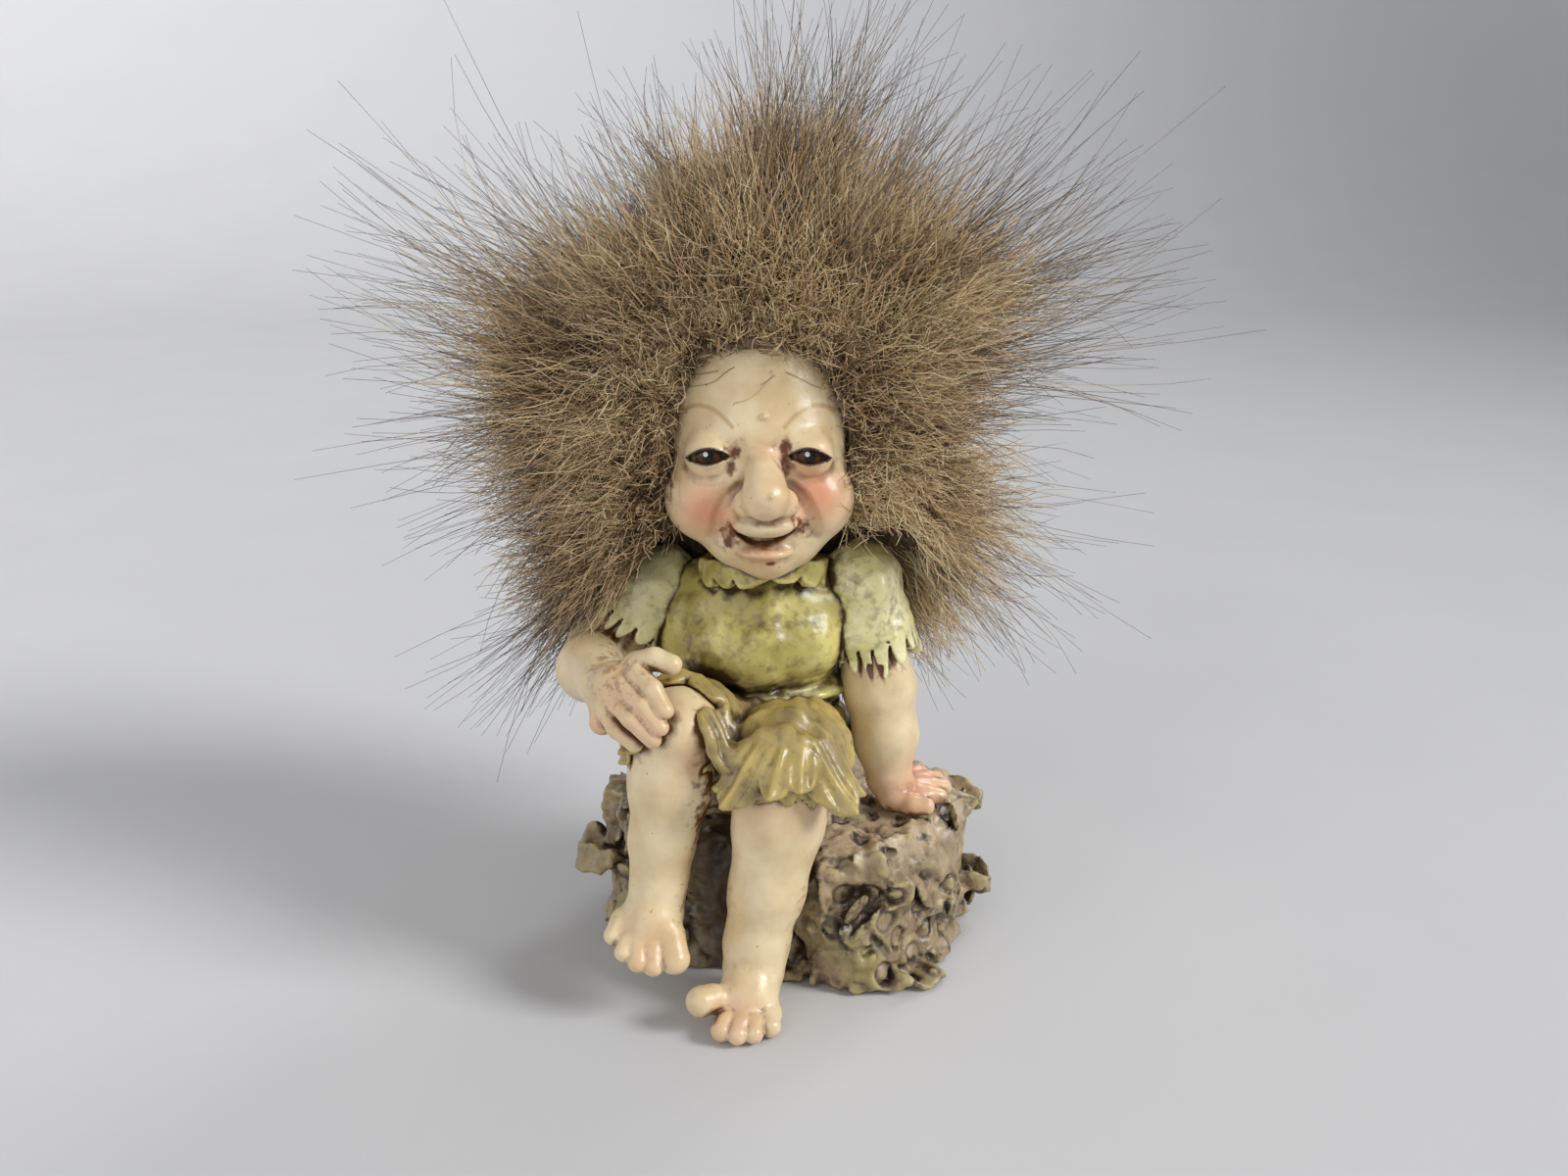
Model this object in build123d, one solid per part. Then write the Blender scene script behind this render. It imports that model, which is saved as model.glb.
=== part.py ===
"""Seated folk troll child on a tree stump: cast resin pieces, keyed and glued together, under a fur wig.

Millimetres, +Z up. The figure faces -Y and its left side is towards +X. The origin is the centre of the
stump's foot, on the surface that it stands on. Nothing moves: each joint is a glued spigot, seat or socket.
"""

import math
import os

from build123d import *

UP = Vector(0, 0, 1)
ACROSS = Vector(1, 0, 0)
BACK = Vector(0, 1, 0)

# Stump
stump_width = 54.0
stump_depth = 45.0
stump_height = 20.0
bark_ridges = 11
bark_relief = 1.1
leg_bay_depth = 6.5
ledge_reach = 6.8
ledge_thickness = 3.2
pad_thickness = 0.8
pad_margin = 9.0

# Trunk and clothes
figure_x = -4.0
seat_y = 2.0
seat_sink = 1.6
hip_half_width = 13.0
hip_half_depth = 9.5
hip_half_height = 8.0
trunk_height = 33.0
trunk_lean = 2.0
belly_half_width = 12.2
belly_half_depth = 9.8
chest_half_width = 11.0
cloth_wall = 1.3
collar_height = 2.6
collar_ease = 1.2
collar_flare = 0.6
sleeve_length = 8.6
sleeve_ease = 1.4
trouser_ease = 1.3
hem_notches = 9
hem_notch_depth = 2.6

# Arms and hands
shoulder_half_span = 13.6
arm_radius = 4.3
wrist_radius = 3.0
palm_half_width = 4.2
palm_half_thickness = 2.0
finger_radius = 1.45
finger_length = 7.6

# Legs and feet
knee_radius = 5.3
calf_radius = 5.5
ankle_radius = 4.2
right_shin_length = 20.8
left_ankle_height = 8.6
instep_length = 4.6
right_instep_drop = 3.4
foot_half_width = 5.2
toe_radius = 1.5
big_toe_radius = 2.2
toe_length = 4.2
foot_lift = 0.3

# Head and face
head_height = 34.0
head_half_width = 11.6
head_half_depth = 12.4
neck_radius = 3.6
neck_spigot_length = 5.0
nose_length = 5.4
nose_radius = 3.3
nostril_radius = 1.9
cheek_radius = 4.9
cheek_half_spacing = 6.9
brow_half_width = 4.2
brow_height = 1.7
lip_height = 1.6
mouth_half_width = 5.4
mouth_gap = 0.8
smile_rise = 1.5
chin_half_width = 4.4
chin_half_height = 2.4
eye_radius = 2.6
eye_half_spacing = 6.2
eye_sink = 1.4
lid_height = 1.2

# Wig
wig_backing_thickness = 0.8
mane_radius = 34.0
mane_depth = 40.0
tuft_length = 28.0
tuft_half_turn = 19.0
hairline_lean = 18.0

# Clearances: glued fits, and the pile over the shoulders
glue_gap = 0.12
pile_gap = 0.3

# Pose: where the joints of the body lie, each from the place that carries it
right_knee_place = Vector(-10.0, 4.6, 17.0)  # from the middle of the figure at the stump's front and top
left_knee_place = Vector(3.6, 2.6, 13.0)
left_ankle_place = Vector(-0.2, 0.6, 0.0)  # from the middle of the figure at the stump's front, on the ground
right_shin_lean = Vector(-0.13, -0.1, -1.0)
right_elbow_place = Vector(-8.4, -0.5, -9.5)  # from the right shoulder
right_wrist_place = Vector(-9.4, 3.2, 4.6)  # from the right knee
right_knuckles_place = Vector(-6.2, -1.2, 6.6)
left_wrist_place = Vector(4.6, -3.6, 4.4)  # from below the left shoulder, on the stump's top
left_knuckles_place = Vector(3.6, 2.6, 0.0)  # from the left wrist, down on the stump's top
left_elbow_bend = Vector(0.4, 0.6, -1.6)
chin_place = Vector(0.0, -8.5, 1.6)  # from the neck
hairline_place = 0.5  # behind the chin, at the brow

# Skeleton that the pieces hang on
stump_front = Vector(figure_x, -stump_depth / 2, 0)
seat = Vector(figure_x, seat_y, stump_height)
pelvis_centre = seat + UP * (hip_half_height - seat_sink)
neck = seat + UP * trunk_height - BACK * trunk_lean
right_hip = pelvis_centre + Vector(-hip_half_width * 0.46, -1.0, 1.0)
left_hip = pelvis_centre + Vector(hip_half_width * 0.46, -1.0, 1.0)
right_knee = stump_front + UP * stump_height + right_knee_place
left_knee = stump_front + UP * stump_height + left_knee_place
right_ankle = right_knee + right_shin_lean.normalized() * right_shin_length
left_ankle = stump_front + UP * left_ankle_height + left_ankle_place
right_shoulder = seat + Vector(-shoulder_half_span, -1.0, trunk_height - 3.0)
left_shoulder = seat + Vector(shoulder_half_span, -2.0, trunk_height - 2.0)
right_elbow = right_shoulder + right_elbow_place
right_wrist = right_knee + right_wrist_place
right_knuckles = right_knee + right_knuckles_place
left_wrist = Vector(left_shoulder.X, 0, stump_height) + left_wrist_place
left_elbow = (left_shoulder + left_wrist) * 0.5 + left_elbow_bend
left_hand_height = stump_height + palm_half_thickness * 0.8
left_knuckles = Vector(left_wrist.X, left_wrist.Y, left_hand_height) + left_knuckles_place
chin = neck + chin_place

# Radii of the arms and of the clothes, from the limbs that they go round
elbow_radius = arm_radius * 1.06
forearm_radius = arm_radius * 0.95
sleeve_radius = arm_radius + cloth_wall + 0.8
sleeve_hem_radius = arm_radius + sleeve_ease + cloth_wall
thigh_radius = knee_radius + cloth_wall + 1.0
trouser_hem_radius = knee_radius + trouser_ease + cloth_wall
collar_radius = neck_radius + collar_ease + cloth_wall


def limb(stations, side=ACROSS, grow=0.0, caps=(1.0, 1.0)):
    """Loft through ellipses (centre, half width along side, half thickness), domed at both ends.

    caps gives each dome's height as a share of the half thickness there.
    """
    points = [station[0] for station in stations]
    last = len(points) - 1
    rings = []
    for i, (point, wide, thick) in enumerate(stations):
        tangent = (points[min(i + 1, last)] - points[max(i - 1, 0)]).normalized()
        rings.append((point, tangent, wide + grow, thick + grow))

    def dome(ring, outward, height):
        point, tangent, wide, thick = ring
        steps = []
        for turn in (math.radians(32), math.radians(58), math.radians(78)):
            centre = point + tangent * (outward * thick * height * math.sin(turn))
            steps.append((centre, tangent, wide * math.cos(turn), thick * math.cos(turn)))
        return steps

    rings = dome(rings[0], -1, caps[0])[::-1] + rings + dome(rings[-1], 1, caps[1])
    return loft([Plane(origin=p, x_dir=side, z_dir=t) * Ellipse(a, b) for p, t, a, b in rings])


def tube(points, radii, grow=0.0):
    return limb([(point, radius, radius) for point, radius in zip(points, radii)], grow=grow)


def ellipsoid(centre, radii):
    return Pos(*centre) * scale(Sphere(1), by=radii)


def seam_side(axis):
    """Direction across an axis, towards the back where it can be, that a surface's seam is turned to."""
    along = axis.normalized()
    side = BACK - along * BACK.dot(along)
    return side if side.length > 0.3 else UP - along * UP.dot(along)


def digit(start, end, root_radius, tip_radius):
    """Finger or toe joint: a cone between two balls, revolved from its half outline."""
    axis = end - start
    length = axis.length
    slope = math.asin((root_radius - tip_radius) / length)

    def on_root(turn):
        return root_radius * math.cos(turn), root_radius * math.sin(turn)

    def on_tip(turn):
        return tip_radius * math.cos(turn), length + tip_radius * math.sin(turn)

    quarter = math.pi / 2
    outline = (
        ThreePointArc(on_root(-quarter), on_root((slope - quarter) / 2), on_root(slope))
        + Line(on_root(slope), on_tip(slope))
        + ThreePointArc(on_tip(slope), on_tip((slope + quarter) / 2), on_tip(quarter))
        + Line(on_tip(quarter), on_root(-quarter))
    )
    solid = revolve(Plane.XZ * make_face(outline), Axis.Z)
    return Plane(origin=start, x_dir=seam_side(axis), z_dir=axis).location * solid


def half_space(origin, outward, reach=200.0):
    """Everything on the outward side of a plane, as far as reach."""
    return extrude(Plane(origin=origin, z_dir=outward) * Rectangle(2 * reach, 2 * reach), reach)


def ragged_hem(centre, outward, radius, inner_radius):
    """Cuts that trim a hem: the end itself, the flare inside it and a ring of V-shaped notches."""
    hem_plane = Plane(origin=centre, z_dir=outward)
    inwards = (Align.CENTER, Align.CENTER, Align.MAX)
    flare = hem_plane * Cone(inner_radius * 0.6, inner_radius, 2 * inner_radius, align=inwards)
    trim = extrude(hem_plane * Circle(3 * radius), 3 * radius)
    half_width = math.pi * radius / hem_notches * 0.6
    notch = make_face(Polyline((-half_width, -1), (half_width, -1), (0, hem_notch_depth), close=True))
    notches = []
    for i in range(hem_notches):
        turn = 2 * math.pi * i / hem_notches
        radial = hem_plane.x_dir * math.cos(turn) + hem_plane.y_dir * math.sin(turn)
        notch_plane = Plane(origin=centre, x_dir=radial.cross(outward), z_dir=radial)
        notches.append(extrude(notch_plane * notch, 2 * radius))
    return [trim, flare, *notches]


# Stump

def stump_outline(height, swell):
    """Bark outline at one height: an oval with uneven ridges, and a bay in front where the calves hang."""
    bay_turn, bay_spread = math.radians(-108), math.radians(32)
    points = []
    samples = 4 * bark_ridges
    for i in range(samples):
        turn = 2 * math.pi * i / samples
        off_bay = (turn - bay_turn + math.pi) % (2 * math.pi) - math.pi
        ridge = math.cos(bark_ridges * turn + 0.9 * math.sin(2 * turn + 1)) * (0.7 + 0.3 * math.sin(3 * turn))
        relief = bark_relief * (ridge + 0.6 * math.sin(3 * turn + height / stump_height) - 1)
        inward = relief - leg_bay_depth * math.exp(-((off_bay / bay_spread) ** 2))
        x = (stump_width / 2 * swell + inward) * math.cos(turn)
        y = (stump_depth / 2 * swell + inward) * math.sin(turn)
        points.append((x, y))
    return Plane.XY.offset(height) * make_face(Spline(points, periodic=True))


def ledge(turn, share):
    """Curled bark ledge: a shelf on the side of the stump, dished on top."""
    angle = math.radians(turn)
    outward = Vector(math.cos(angle), math.sin(angle), 0)
    spot = Vector(stump_width * 0.46 * outward.X, stump_depth * 0.46 * outward.Y, stump_height * share)
    shelf = ellipsoid(spot, (ledge_reach, ledge_reach, ledge_thickness))
    dish_reach = ledge_reach * 0.62
    dish_spot = spot + outward * (ledge_reach * 0.44) + UP * ledge_thickness
    return shelf - ellipsoid(dish_spot, (dish_reach, dish_reach, ledge_thickness * 0.8))


def stump_block():
    swells = ((0.0, 1.0), (0.3, 0.94), (0.62, 0.91), (0.88, 0.97), (1.0, 0.92))
    block = loft([stump_outline(stump_height * share, swell) for share, swell in swells])
    ledge_places = ((172, 0.52), (8, 0.28), (24, 0.78), (60, 0.78), (128, 0.6))
    ledges = [ledge(turn, share) for turn, share in ledge_places]
    room = [pad_disc(glue_gap), pelvis(glue_gap), right_trouser_leg(glue_gap), left_trouser_leg(glue_gap)]
    return block.fuse(*ledges).cut(*room, right_shank(glue_gap), left_shank(glue_gap))


def pad_disc(clearance=0.0):
    """Felt pad let into the underside of the stump."""
    half_width = stump_width / 2 - pad_margin + clearance
    half_depth = stump_depth / 2 - pad_margin + clearance
    return extrude(Ellipse(half_width, half_depth), pad_thickness + clearance)


# Legs

right_heading = Vector(-0.16, -0.86, -0.36).normalized()
left_heading = Vector(-0.24, -0.97, 0).normalized()


def shank(knee, ankle, grow):
    """Bare knee, calf and ankle; the dome of the knee is the spigot that fills the trouser leg."""
    down = ankle - knee
    points = (knee, knee + down * 0.36 + BACK * 0.9, knee + down * 0.74, ankle)
    return tube(points, (knee_radius, calf_radius, (calf_radius + ankle_radius) / 2, ankle_radius), grow)


def right_shank(grow=0.0):
    return shank(right_knee, right_ankle, grow)


def left_shank(grow=0.0):
    return shank(left_knee, left_ankle, grow)


def foot(ankle, heading, big_toe_side, ball_drop):
    """Heel, instep and five toes. big_toe_side is +1 where the big toe lies towards +X."""
    across = UP.cross(heading).normalized()
    ball = ankle + heading * instep_length - UP * ball_drop
    heel = ankle - heading * 0.6 - UP * (ball_drop * 0.5)
    stations = [
        (heel, ankle_radius, ankle_radius * 0.95),
        ((heel + ball) * 0.5, foot_half_width * 0.95, foot_half_width * 0.68),
        (ball, foot_half_width, foot_half_width * 0.4),
    ]
    toes = []
    for i in range(5):
        spread = (2 - i) / 2 * big_toe_side
        radius = big_toe_radius if i == 0 else toe_radius * (1.06 - 0.06 * i)
        root = ball + across * (spread * (foot_half_width - toe_radius)) + heading * (0.8 - 0.9 * abs(spread))
        root -= UP * (big_toe_radius - radius)
        tip = root + (heading + across * (0.2 * spread)) * (toe_length * (1.1 - 0.1 * i))
        toes.append(digit(root, tip, radius * 0.94, radius))
    return limb(stations, side=across).fuse(*toes)


def right_leg_block():
    return right_shank().fuse(foot(right_ankle, right_heading, 1, right_instep_drop))


def left_leg_block():
    """The left foot stays foot_lift above the ground, so that the stump alone carries the figure."""
    ball_drop = left_ankle_height - big_toe_radius - foot_lift
    return left_shank().fuse(foot(left_ankle, left_heading, -1, ball_drop))


# Trousers

right_hem = right_knee + Vector(0.2, -1.2, -0.4)
left_hem = left_knee + Vector(-0.2, -2.6, -3.2)


def trouser_leg(hip, knee, hem, grow):
    middle = (hip + knee) * 0.5 + UP * 1.2
    radii = (thigh_radius, thigh_radius, thigh_radius, trouser_hem_radius)
    return tube((hip, middle, knee, hem), radii, grow)


def right_trouser_leg(grow=0.0):
    return trouser_leg(right_hip, right_knee + Vector(0.6, 4.6, -0.4), right_hem, grow)


def left_trouser_leg(grow=0.0):
    return trouser_leg(left_hip, left_knee + Vector(0.2, 3.0, 0.2), left_hem, grow)


def pelvis(grow=0.0):
    return ellipsoid(pelvis_centre, (hip_half_width + grow, hip_half_depth + grow, hip_half_height + grow))


def trousers_block():
    """Seat and two ragged trouser legs that end at the knees."""
    legs = []
    for leg, hem, outward in (
        (right_trouser_leg(), right_hem, Vector(-0.1, -0.95, -0.3).normalized()),
        (left_trouser_leg(), left_hem, Vector(0, -0.62, -0.78).normalized()),
    ):
        legs.append(leg.cut(*ragged_hem(hem, outward, trouser_hem_radius, knee_radius + trouser_ease)))
    return pelvis().fuse(*legs).cut(trunk(glue_gap), right_shank(glue_gap), left_shank(glue_gap))


# Tunic and sleeves

def trunk(grow=0.0):
    """Belly, chest and sloping shoulders."""
    waist = seat + UP * (trunk_height * 0.42)
    belly = seat + UP * (trunk_height * 0.62) - BACK * (trunk_lean * 0.7)
    chest = seat + UP * (trunk_height * 0.82) - BACK * (trunk_lean * 0.6)
    stations = [
        (waist, belly_half_width * 0.86, belly_half_depth * 0.88),
        (belly, belly_half_width, belly_half_depth),
        (chest, chest_half_width, belly_half_depth * 0.86),
        (neck - UP * (collar_height * 0.8), collar_radius + 1.8, collar_radius + 0.6),
    ]
    return limb(stations, grow=grow, caps=(0.5, 0.25))


def collar(grow=0.0):
    """Standing collar, a little wider at its edge."""
    foot_plane = Plane(origin=neck - UP * (collar_height * 0.8))
    upwards = (Align.CENTER, Align.CENTER, Align.MIN)
    edge_radius = collar_radius + collar_flare + grow
    return foot_plane * Cone(collar_radius + grow, edge_radius, collar_height + grow, align=upwards)


def tunic_block():
    spigot_bottom = Plane(origin=neck - UP * (neck_spigot_length + glue_gap))
    socket = extrude(spigot_bottom * Circle(neck_radius + glue_gap), neck_spigot_length + 2 * collar_height)
    lining_bottom = Plane(origin=neck - UP * glue_gap)
    lining = extrude(lining_bottom * Circle(collar_radius - cloth_wall), 2 * collar_height)
    return trunk().fuse(collar()).cut(socket, lining).cut(skull(glue_gap))


def sleeve_hem(shoulder, elbow):
    return shoulder + (elbow - shoulder).normalized() * sleeve_length


def sleeve_tube(shoulder, elbow, grow=0.0):
    hem = sleeve_hem(shoulder, elbow)
    mid_radius = (sleeve_radius + sleeve_hem_radius) / 2
    return tube((shoulder, (shoulder + hem) * 0.5, hem), (sleeve_radius, mid_radius, sleeve_hem_radius), grow)


def sleeve_block(shoulder, elbow, arm):
    """Short sleeve with a ragged, flared hem, seated on the trunk and filled by the arm and its clearance."""
    outward = (elbow - shoulder).normalized()
    cuts = ragged_hem(sleeve_hem(shoulder, elbow), outward, sleeve_hem_radius, arm_radius + sleeve_ease)
    return sleeve_tube(shoulder, elbow).cut(*cuts).cut(trunk(glue_gap), arm)


# Arms

def right_arm_tube(grow=0.0):
    """Upper arm and forearm of the bent arm, joined at the elbow."""
    upper_middle = (right_shoulder + right_elbow) * 0.5
    fore_middle = (right_elbow + right_wrist) * 0.5
    upper = tube((right_shoulder, upper_middle, right_elbow), (arm_radius, arm_radius, elbow_radius), grow)
    fore = tube((right_elbow, fore_middle, right_wrist), (elbow_radius, forearm_radius, wrist_radius), grow)
    return upper.fuse(fore)


def left_arm_tube(grow=0.0):
    """Upper arm and forearm of the straight arm, in one piece."""
    upper_middle = (left_shoulder + left_elbow) * 0.5
    fore_middle = (left_elbow + left_wrist) * 0.5
    points = (left_shoulder, upper_middle, left_elbow, fore_middle, left_wrist)
    return tube(points, (arm_radius, arm_radius, elbow_radius, forearm_radius, wrist_radius), grow)


def hand(wrist, knuckles, reach, spread, thumb, curl):
    """Palm, four fingers of two joints and a thumb. spread points from the index to the little finger."""
    middle = (wrist + knuckles) * 0.5
    stations = [
        (wrist, wrist_radius, palm_half_thickness),
        (middle, palm_half_width * 0.96, palm_half_thickness),
        (knuckles, palm_half_width, palm_half_thickness * 0.9),
    ]
    digits = []
    for i, share in enumerate((0.92, 1.0, 0.94, 0.74)):
        root = knuckles + spread * ((i - 1.5) * palm_half_width * 0.56)
        joint = root + reach * (finger_length * share * 0.5)
        tip = joint + (reach + curl).normalized() * (finger_length * share * 0.42)
        digits.append(digit(root, joint, finger_radius, finger_radius * 0.94))
        digits.append(digit(joint, tip, finger_radius * 0.94, finger_radius * 0.8))
    thumb_root = middle - spread * (palm_half_width * 0.7)
    thumb_tip = thumb_root + thumb * (finger_length * 0.72)
    digits.append(digit(thumb_root, thumb_tip, finger_radius * 1.15, finger_radius * 0.95))
    return limb(stations, side=spread).fuse(*digits)


def right_arm_block():
    """Bent arm whose hand lies over the right knee."""
    reach = Vector(0.68, -0.42, -0.6).normalized()
    spread = Vector(-0.74, 0.16, -0.66)
    spread = (spread - reach * spread.dot(reach)).normalized()
    thumb = Vector(0.86, -0.4, 0.1).normalized()
    palm = hand(right_wrist, right_knuckles, reach, spread, thumb, Vector(0.1, 0.1, -0.5))
    room = [trunk(glue_gap), right_trouser_leg(glue_gap), right_shank(glue_gap)]
    return right_arm_tube().fuse(palm).cut(*room)


def left_arm_block():
    """Straight arm propped on the stump, its palm flat on the top and its fingers outwards and back."""
    reach = Vector(0.74, 0.66, -0.1).normalized()
    spread = UP.cross(reach).normalized()
    thumb = Vector(0.8, -0.6, -0.08).normalized()
    heel = left_wrist - UP * (palm_half_thickness * 0.8)
    palm = hand(heel, left_knuckles, reach, spread, thumb, Vector(0, 0, -0.2))
    stump_top = half_space(Vector(0, 0, stump_height + glue_gap), UP * -1)
    room = [stump_top, trunk(glue_gap), left_trouser_leg(glue_gap), pelvis(glue_gap)]
    return left_arm_tube().fuse(palm).cut(*room)


# Head

SKULL = (
    # share of the head's height, middle behind the chin, shares of half width and half depth
    (0.07, 0.6, 0.66, 0.62),
    (0.18, 3.6, 0.90, 0.86),
    (0.32, 5.6, 1.00, 0.96),
    (0.48, 6.3, 0.98, 1.00),
    (0.66, 6.8, 0.96, 0.98),
    (0.83, 7.8, 0.80, 0.84),
)
MOUTH_SHARE = 0.185
EYE_SHARE = 0.465


def skull(grow=0.0):
    stations = []
    for share, back, wide, deep in SKULL:
        centre = chin + Vector(0, back, head_height * share)
        stations.append((centre, head_half_depth * deep, head_half_width * wide))
    return limb(stations, side=BACK, grow=grow, caps=(0.3, 0.55))


def on_face(x, share, proud=0.0):
    """Point on the front of the skull, x aside and share up the head, stood proud of it along -Y."""
    spans = list(zip(SKULL, SKULL[1:]))
    (low, *below), (high, *above) = next(span for span in spans if share <= span[1][0])
    mix = (share - low) / (high - low)
    back, wide, deep = [a + (b - a) * mix for a, b in zip(below, above)]
    bulge = math.sqrt(1 - (x / (head_half_width * wide)) ** 2)
    return chin + Vector(x, back - head_half_depth * deep * bulge - proud, head_height * share)


def eye_centre(side):
    return on_face(side * eye_half_spacing, EYE_SHARE, -eye_sink)


def eye_ball(side, grow=0.0):
    return Pos(*eye_centre(side)) * Rot(90, 0, 0) * Sphere(eye_radius + grow)


def smile():
    """Slit between the lips: an arc swept up at both corners, cut straight back into the face."""
    middle = on_face(0, MOUTH_SHARE)
    slit_bottom = on_face(mouth_half_width, MOUTH_SHARE).Y + mouth_gap
    left_corner, right_corner = (-mouth_half_width, smile_rise), (mouth_half_width, smile_rise)
    lower = ThreePointArc(left_corner, (0, -mouth_gap / 2), right_corner)
    upper = ThreePointArc(right_corner, (0, mouth_gap / 2), left_corner)
    front = Plane(origin=(middle.X, slit_bottom, middle.Z), x_dir=ACROSS, z_dir=BACK * -1)
    return extrude(front * make_face(lower + upper), head_half_depth)


def face_bar(inner, outer, inner_radius, outer_radius):
    """Raised bar on the face between two points, each given as x aside, share up the head and proud."""
    return digit(on_face(*inner), on_face(*outer), inner_radius, outer_radius)


def nose_and_chin():
    nose_tip = on_face(0.4, 0.335, nose_length - nose_radius)
    wing = nose_radius * 0.8
    chin_end = chin_half_width - chin_half_height
    chin_left, chin_right = (-chin_end, 0.075, -1.6), (chin_end, 0.075, -1.6)
    return [
        digit(on_face(0, 0.47, -0.6), nose_tip, nose_radius * 0.56, nose_radius),
        face_bar((-wing, 0.3, 0.8), (wing, 0.3, 0.8), nostril_radius, nostril_radius * 0.98),
        face_bar(chin_left, chin_right, chin_half_height, chin_half_height * 0.98),
    ]


def side_features(side):
    """Cheek, half of each lip, heavy upper lid and brow, each sunk into the skull."""
    cheek = on_face(side * cheek_half_spacing, 0.3, -0.45 * cheek_radius)
    corner = side * mouth_half_width
    upper_lip = MOUTH_SHARE + 0.05
    lower_lip = MOUTH_SHARE - 0.05
    eye = side * eye_half_spacing
    lid_in, lid_out = eye - side * eye_radius * 0.8, eye + side * eye_radius * 0.8
    brow_in, brow_out = eye - side * brow_half_width * 0.65, eye + side * brow_half_width * 0.65
    lid, brow = EYE_SHARE + 0.05, EYE_SHARE + 0.12
    lower_middle, lower_end = (0, lower_lip, -0.6), (corner * 0.8, lower_lip + 0.05, -0.7)
    return [
        Pos(*cheek) * Rot(0, 0, 90) * Sphere(cheek_radius),
        face_bar((0, upper_lip, -0.7), (corner, upper_lip + 0.04, -0.8), lip_height, lip_height * 0.6),
        face_bar(lower_middle, lower_end, lip_height * 0.9, lip_height * 0.5),
        face_bar((lid_in, lid, -0.2), (lid_out, lid - 0.01, -0.2), lid_height, lid_height * 0.9),
        face_bar((brow_in, brow, -1.0), (brow_out, brow - 0.01, -0.9), brow_height, brow_height * 0.7),
    ]


def head_block():
    """Skull with its features, a slit for the mouth, sockets for the eyes, and the neck with its spigot."""
    spigot_bottom = neck - UP * neck_spigot_length
    column_length = chin.Z + head_height * 0.2 - spigot_bottom.Z
    head = skull().fuse(extrude(Plane(origin=spigot_bottom) * Circle(neck_radius), column_length))
    for feature in nose_and_chin() + side_features(-1) + side_features(1):
        head = head.fuse(feature)
    for hollow in (eye_ball(-1, glue_gap), eye_ball(1, glue_gap), smile()):
        head = head.cut(hollow)
    return head


# Wig

lean = math.radians(hairline_lean)
hairline_normal = Vector(0, math.cos(lean), math.sin(lean))
hairline_brow = chin + Vector(0, hairline_place, head_height * 0.86)
mane_height = chin.Z + head_height * 0.56
mane_middle = Vector(chin.X, hairline_brow.Y + (hairline_brow.Z - mane_height) * math.tan(lean), mane_height)

TUFTS = (
    # turn from +X in degrees, share of tuft_length
    (25, 1.04),
    (55, 0.50),
    (85, 0.78),
    (120, 0.52),
    (155, 1.16),
    (185, 0.80),
    (225, 0.84),
    (255, 0.62),
    (285, 0.62),
    (320, 0.80),
    (355, 0.44),
)

MANE = (
    # share of mane_depth behind the hairline, share of mane_radius, share of each tuft
    (0.00, 0.66, 0.30),
    (0.12, 0.88, 0.94),
    (0.34, 1.00, 0.62),
    (0.56, 0.94, 0.30),
    (0.80, 0.72, 0.10),
    (1.00, 0.36, 0.00),
)


def mane_outline(distance, body_share, tuft_share):
    """Outline of the pile at a distance behind the hairline: a round body that parts into pointed tufts."""
    points = []
    step = 5
    for turn in range(0, 360, step):
        radius = mane_radius * body_share
        for middle, share in TUFTS:
            off = abs((turn - middle + 180) % 360 - 180) / tuft_half_turn
            radius += tuft_length * share * tuft_share * max(0.0, 1 - off) ** 1.3
        points.append((radius * math.cos(math.radians(turn)), radius * math.sin(math.radians(turn))))
    plane = Plane(origin=mane_middle + BACK * distance, x_dir=ACROSS, z_dir=hairline_normal * -1)
    return plane * make_face(Spline(points, periodic=True))


def shoulder_room():
    """Space of the shoulders and the back, which the pile falls behind: a prism right across the figure."""
    top = max(left_shoulder.Z, right_shoulder.Z) + sleeve_radius + pile_gap
    back = seat_y + max(belly_half_depth, hip_half_depth) + pile_gap
    front = -2 * mane_radius
    round_off = (sleeve_hem_radius + pile_gap) * math.sqrt(2)
    ridge = left_shoulder.Y + left_shoulder.Z + round_off - top
    slope = back - ridge
    outline = Polyline((front, top), (ridge, top), (back, top - slope), (back, 0), (front, 0), close=True)
    side_plane = Plane(origin=(figure_x - 3 * mane_radius, 0, 0), x_dir=BACK, z_dir=ACROSS)
    return extrude(side_plane * make_face(outline), 6 * mane_radius)


def wig_pile_block():
    """Pile of the fur, from the hairline to the back of the mane, hollow over the cap and the shoulders."""
    pile = loft([mane_outline(mane_depth * share, body, tufts) for share, body, tufts in MANE])
    return pile.cut(skull(wig_backing_thickness + glue_gap)).cut(shoulder_room())


def wig_backing_block():
    """Knitted cap of the fur fabric, glued over the skull behind the hairline."""
    cap = skull(wig_backing_thickness).cut(skull(glue_gap))
    nape = half_space(chin + UP * (head_height * 0.12), UP * -1)
    return cap.cut(half_space(hairline_brow, hairline_normal * -1), nape)


pieces = {
    "stump": stump_block(),
    "felt_pad": pad_disc(),
    "trousers": trousers_block(),
    "tunic": tunic_block(),
    "right_sleeve": sleeve_block(right_shoulder, right_elbow, right_arm_tube(glue_gap)),
    "left_sleeve": sleeve_block(left_shoulder, left_elbow, left_arm_tube(glue_gap)),
    "right_arm": right_arm_block(),
    "left_arm": left_arm_block(),
    "right_leg": right_leg_block(),
    "left_leg": left_leg_block(),
    "head": head_block(),
    "right_eye": eye_ball(-1),
    "left_eye": eye_ball(1),
    "wig_backing": wig_backing_block(),
    "wig_pile": wig_pile_block(),
}

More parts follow.
